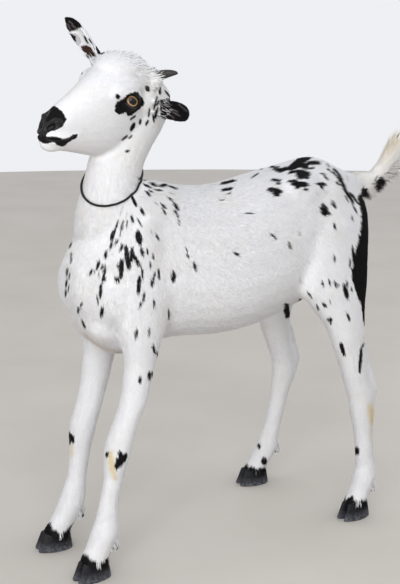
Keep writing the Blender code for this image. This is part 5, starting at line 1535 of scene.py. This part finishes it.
def claw_points(foot, half_sign):
    """One claw: flat sole, sloping toe, straight inner wall and rings of growth."""
    x, y, turn = FEET[foot]
    stand = Matrix.Translation(on_goat(x, y, 0)) @ Matrix.Rotation(math.radians(turn), 4, "Z")
    levels = np.array(CLAW_LEVELS)
    rings = []
    for level in np.concatenate([[0, 0.012, 0.03], np.linspace(0.06, 0.96, 31), [0.985, 1.0]]):
        size = np.interp(level, levels[:, 0], levels[:, 1])
        back = np.interp(level, levels[:, 0], levels[:, 2])
        size *= 1 + 0.007 * math.sin(level * 52) * (0.2 < level < 0.97)
        points = []
        for angle in turns(CLAW_SIDES):
            along = -math.cos(angle) * HOOF_LENGTH / 2
            taper = 1.0 - TOE_TAPER * max(0.0, -along / (HOOF_LENGTH / 2)) ** 1.5
            out = max(math.sin(angle) * (CLAW_WIDTH - CLAW_INNER) * taper, -CLAW_INNER)
            away = CLEFT / 2 + GAP + CLAW_INNER * size + out * size
            flat_y = along * size + back
            slope = (flat_y + HOOF_LENGTH / 2) / HOOF_LENGTH
            top = CORONET_FRONT + (CORONET_BACK - CORONET_FRONT) * slope - GAP
            points.append(stand @ Vector((half_sign * away, flat_y, level * top)))
        rings.append(points)
    return ring_loft(rings if half_sign > 0 else [ring[::-1] for ring in rings])


def hoof_finish():
    """Dark slate horn, in rings from the hair down, paler in patches toward the floor."""
    made = plain_finish("Hoof horn", (0.004, 0.004, 0.005), (0.016, 0.017, 0.021),
                        320.0, 0.42, 0.45, stretch=(1, 1, 4))
    tree = made.node_tree
    shader = tree.nodes["Principled BSDF"]
    tones = shader.inputs["Base Color"].links[0].from_socket
    place = add_node(tree, "TexCoord", {}).outputs["Object"]
    height = add_node(tree, "SeparateXYZ", {"Vector": place}).outputs["Z"]
    near_floor = add_node(tree, "MapRange", {"Value": height, "From Min": 0.016, "From Max": 0.001})
    blotches = add_node(tree, "TexNoise", {"Vector": place, "Scale": 170.0, "Detail": 4})
    strong = add_node(tree, "MapRange", {
        "Value": blotches.outputs["Fac"],
        "From Min": 0.38, "From Max": 0.62, "To Min": 0.25, "To Max": 1.0})
    patchy = add_node(tree, "Math", {0: near_floor.outputs["Result"], 1: strong.outputs["Result"]})
    patchy.operation = "MULTIPLY"
    patchy.use_clamp = True
    mix = add_node(tree, "Mix", {})
    mix.data_type = "RGBA"
    set_inputs(tree, mix, {
        "Factor": patchy.outputs["Value"], 6: tones, 7: (0.105, 0.108, 0.125, 1)})
    set_inputs(tree, shader, {"Base Color": mix.outputs[2], "Specular IOR Level": 0.16})
    return made


def foot_halves():
    """Each half of each foot, and the side of the foot that it is on."""
    for foot in FEET:
        outer = 1 if foot.endswith("left") else -1
        yield foot, "outer", outer
        yield foot, "inner", -outer


hoof_horn = hoof_finish()
for foot, half, sign in foot_halves():
    claw = new_piece(f"Claw.{foot}.{half}", *claw_points(foot, sign))
    claw.data.materials.append(hoof_horn)
    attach(claw, "root")
    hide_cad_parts(f"hoof_{foot}_{half}")


# Two small horny buds stand behind each fetlock, tilted back, half in the hair.
# Each is a long ball of the hoof's own horn with rings of growth, set where its
# solid stands.
DEWCLAW_RADII, DEWCLAW_TILT = (0.0050, 0.0058, 0.0090), math.radians(24)
DEWCLAW_RING_DEPTH, DEWCLAW_RINGS = 0.025, 26
back_reach = math.hypot(
    DEWCLAW_RADII[1] * math.cos(DEWCLAW_TILT), DEWCLAW_RADII[2] * math.sin(DEWCLAW_TILT))
tilt = np.array(Matrix.Rotation(DEWCLAW_TILT, 3, "X"))
ball, ball_faces = ball_points(1.0, 28, 32)
ringed = 1 + DEWCLAW_RING_DEPTH * np.sin(ball[:, 2] * DEWCLAW_RINGS)
bud_form = ball * np.array(DEWCLAW_RADII) * np.column_stack([ringed, ringed, np.ones(len(ball))])
for foot, half, sign in foot_halves():
    low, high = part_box(f"dewclaw_{foot}_{half}")
    edge = high.x if sign > 0 else low.x
    middle = Vector((edge - sign * DEWCLAW_RADII[0], high.y - back_reach, (low.z + high.z) / 2))
    bud = new_piece(f"Dewclaw.{foot}.{half}", bud_form @ tilt.T + np.array(middle), ball_faces)
    bud.data.materials.append(hoof_horn)
    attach(bud, "root")
    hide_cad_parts(f"dewclaw_{foot}_{half}")


# The collar is a thin dark cord of twisted strands, tied round the neck, that
# lies on the coat and hangs lower at the front left. Its middle line is found by
# probing the solid neck from inside, all the way round.
CORD_RADIUS, CORD_MIDDLE = 0.0018, (0.0, 0.0795, 0.6037)
CORD_LOW_SIDE, CORD_SLOPE = Vector((0.866, -0.500, 0.0)), 0.723
CORD_PROBES, CORD_POINTS, CORD_TWISTS = 56, 560, 70
STRANDS, STRAND_SIDES, STRAND_RADIUS, STRAND_OFFSET = 3, 8, CORD_RADIUS * 0.56, 0.48


def collar_path():
    """Middle line of the cord, on the coat, with the way that faces outward at each point."""
    path, outwards = [], []
    for angle in turns(CORD_PROBES):
        flat = Vector((math.cos(angle), math.sin(angle), 0))
        outward = (flat - Vector((0, 0, CORD_SLOPE * flat.dot(CORD_LOW_SIDE)))).normalized()
        hit, normal, _, _ = solid_tree.ray_cast(on_goat(*CORD_MIDDLE), outward, 0.2)
        path.append(hit + normal * (CORD_RADIUS * 0.7))
        outwards.append(normal)
    return path, outwards


def between(four, share):
    """A place on the smooth curve through four points, between the middle two."""
    before, start, end, after = four
    return 0.5 * (
        2 * start + (end - before) * share
        + (2 * before - 5 * start + 4 * end - after) * share**2
        + (3 * start - before - 3 * end + after) * share**3)


def collar_mesh():
    """Strands that wind round the middle line."""
    coarse, faces_out = collar_path()
    path, outs = [], []
    for i in range(CORD_POINTS):
        t = i / CORD_POINTS * CORD_PROBES
        k, share = int(t) % CORD_PROBES, t - int(t)
        path.append(between([coarse[(k + d) % CORD_PROBES] for d in (-1, 0, 1, 2)], share))
        outs.append(faces_out[k] * (1 - share) + faces_out[(k + 1) % CORD_PROBES] * share)
    points = []
    for strand in range(STRANDS):
        for i in range(CORD_POINTS):
            run = (path[(i + 1) % CORD_POINTS] - path[i - 1]).normalized()
            out = (outs[i] - run * outs[i].dot(run)).normalized()
            side = run.cross(out)
            wind = 2 * math.pi * (CORD_TWISTS * i / CORD_POINTS + strand / STRANDS)
            off = (out * math.cos(wind) + side * math.sin(wind)) * CORD_RADIUS * STRAND_OFFSET
            points += [path[i] + off + (out * math.cos(a) + side * math.sin(a)) * STRAND_RADIUS
                       for a in turns(STRAND_SIDES)]
    faces = closed_band(CORD_POINTS, STRAND_SIDES, False)
    starts = (CORD_POINTS * STRAND_SIDES * k for k in range(STRANDS))
    return np.array(points), np.concatenate([faces + start for start in starts])


collar = new_piece("Collar.cord", *collar_mesh())
collar.data.materials.append(plain_finish(
    "Dark twisted cord", (0.004, 0.0035, 0.0035), (0.016, 0.014, 0.014), 1800.0, 0.75, 0.6))
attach(collar, "root")
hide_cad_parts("collar")


# The goat stands on a wide, plain, pale floor, in soft light from above and from
# the camera's side. The floor is a thin round slab just under the hooves.
FLOOR_EDGES = ((6.0, -0.02), (6.0, -0.002), (5.99, -0.0002))
floor_rings = [[Vector((math.cos(a) * r, math.sin(a) * r, z)) for a in turns(96)]
               for r, z in FLOOR_EDGES]
floor = new_piece("Floor", *ring_loft(floor_rings))
floor.data.materials.append(plain_finish(
    "Pale floor", (0.50, 0.472, 0.428), (0.55, 0.522, 0.478), 3.0, 0.80, 0.1))

world = bpy.data.worlds.new("Studio")
world.use_nodes = True
set_inputs(world.node_tree, world.node_tree.nodes["Background"], {
    "Color": (0.955, 0.965, 1.0, 1), "Strength": 0.90})
bpy.context.scene.world = world
bpy.context.scene.view_settings.view_transform = "Standard"


def soft_light(name, place, aim, size, power):
    """Round lamp at a place, turned toward what it lights."""
    lamp = bpy.data.lights.new(name, "AREA")
    lamp.shape = "DISK"
    lamp.size = size
    lamp.energy = power
    turned = (aim - place).to_track_quat("-Z", "Y").to_matrix().to_4x4()
    add_object(name, lamp).matrix_world = Matrix.Translation(place) @ turned


goat_middle = on_goat(0.0, 0.2, 0.45)
soft_light("Key light", on_goat(2.1, -1.1, 1.5), goat_middle, 2.2, 30.0)
soft_light("Low fill light", on_goat(1.5, -1.9, 0.42), goat_middle, 0.7, 14.0)
soft_light("Back light", on_goat(0.4, 2.4, 2.2), goat_middle, 1.8, 10.0)

bpy.context.view_layer.update()
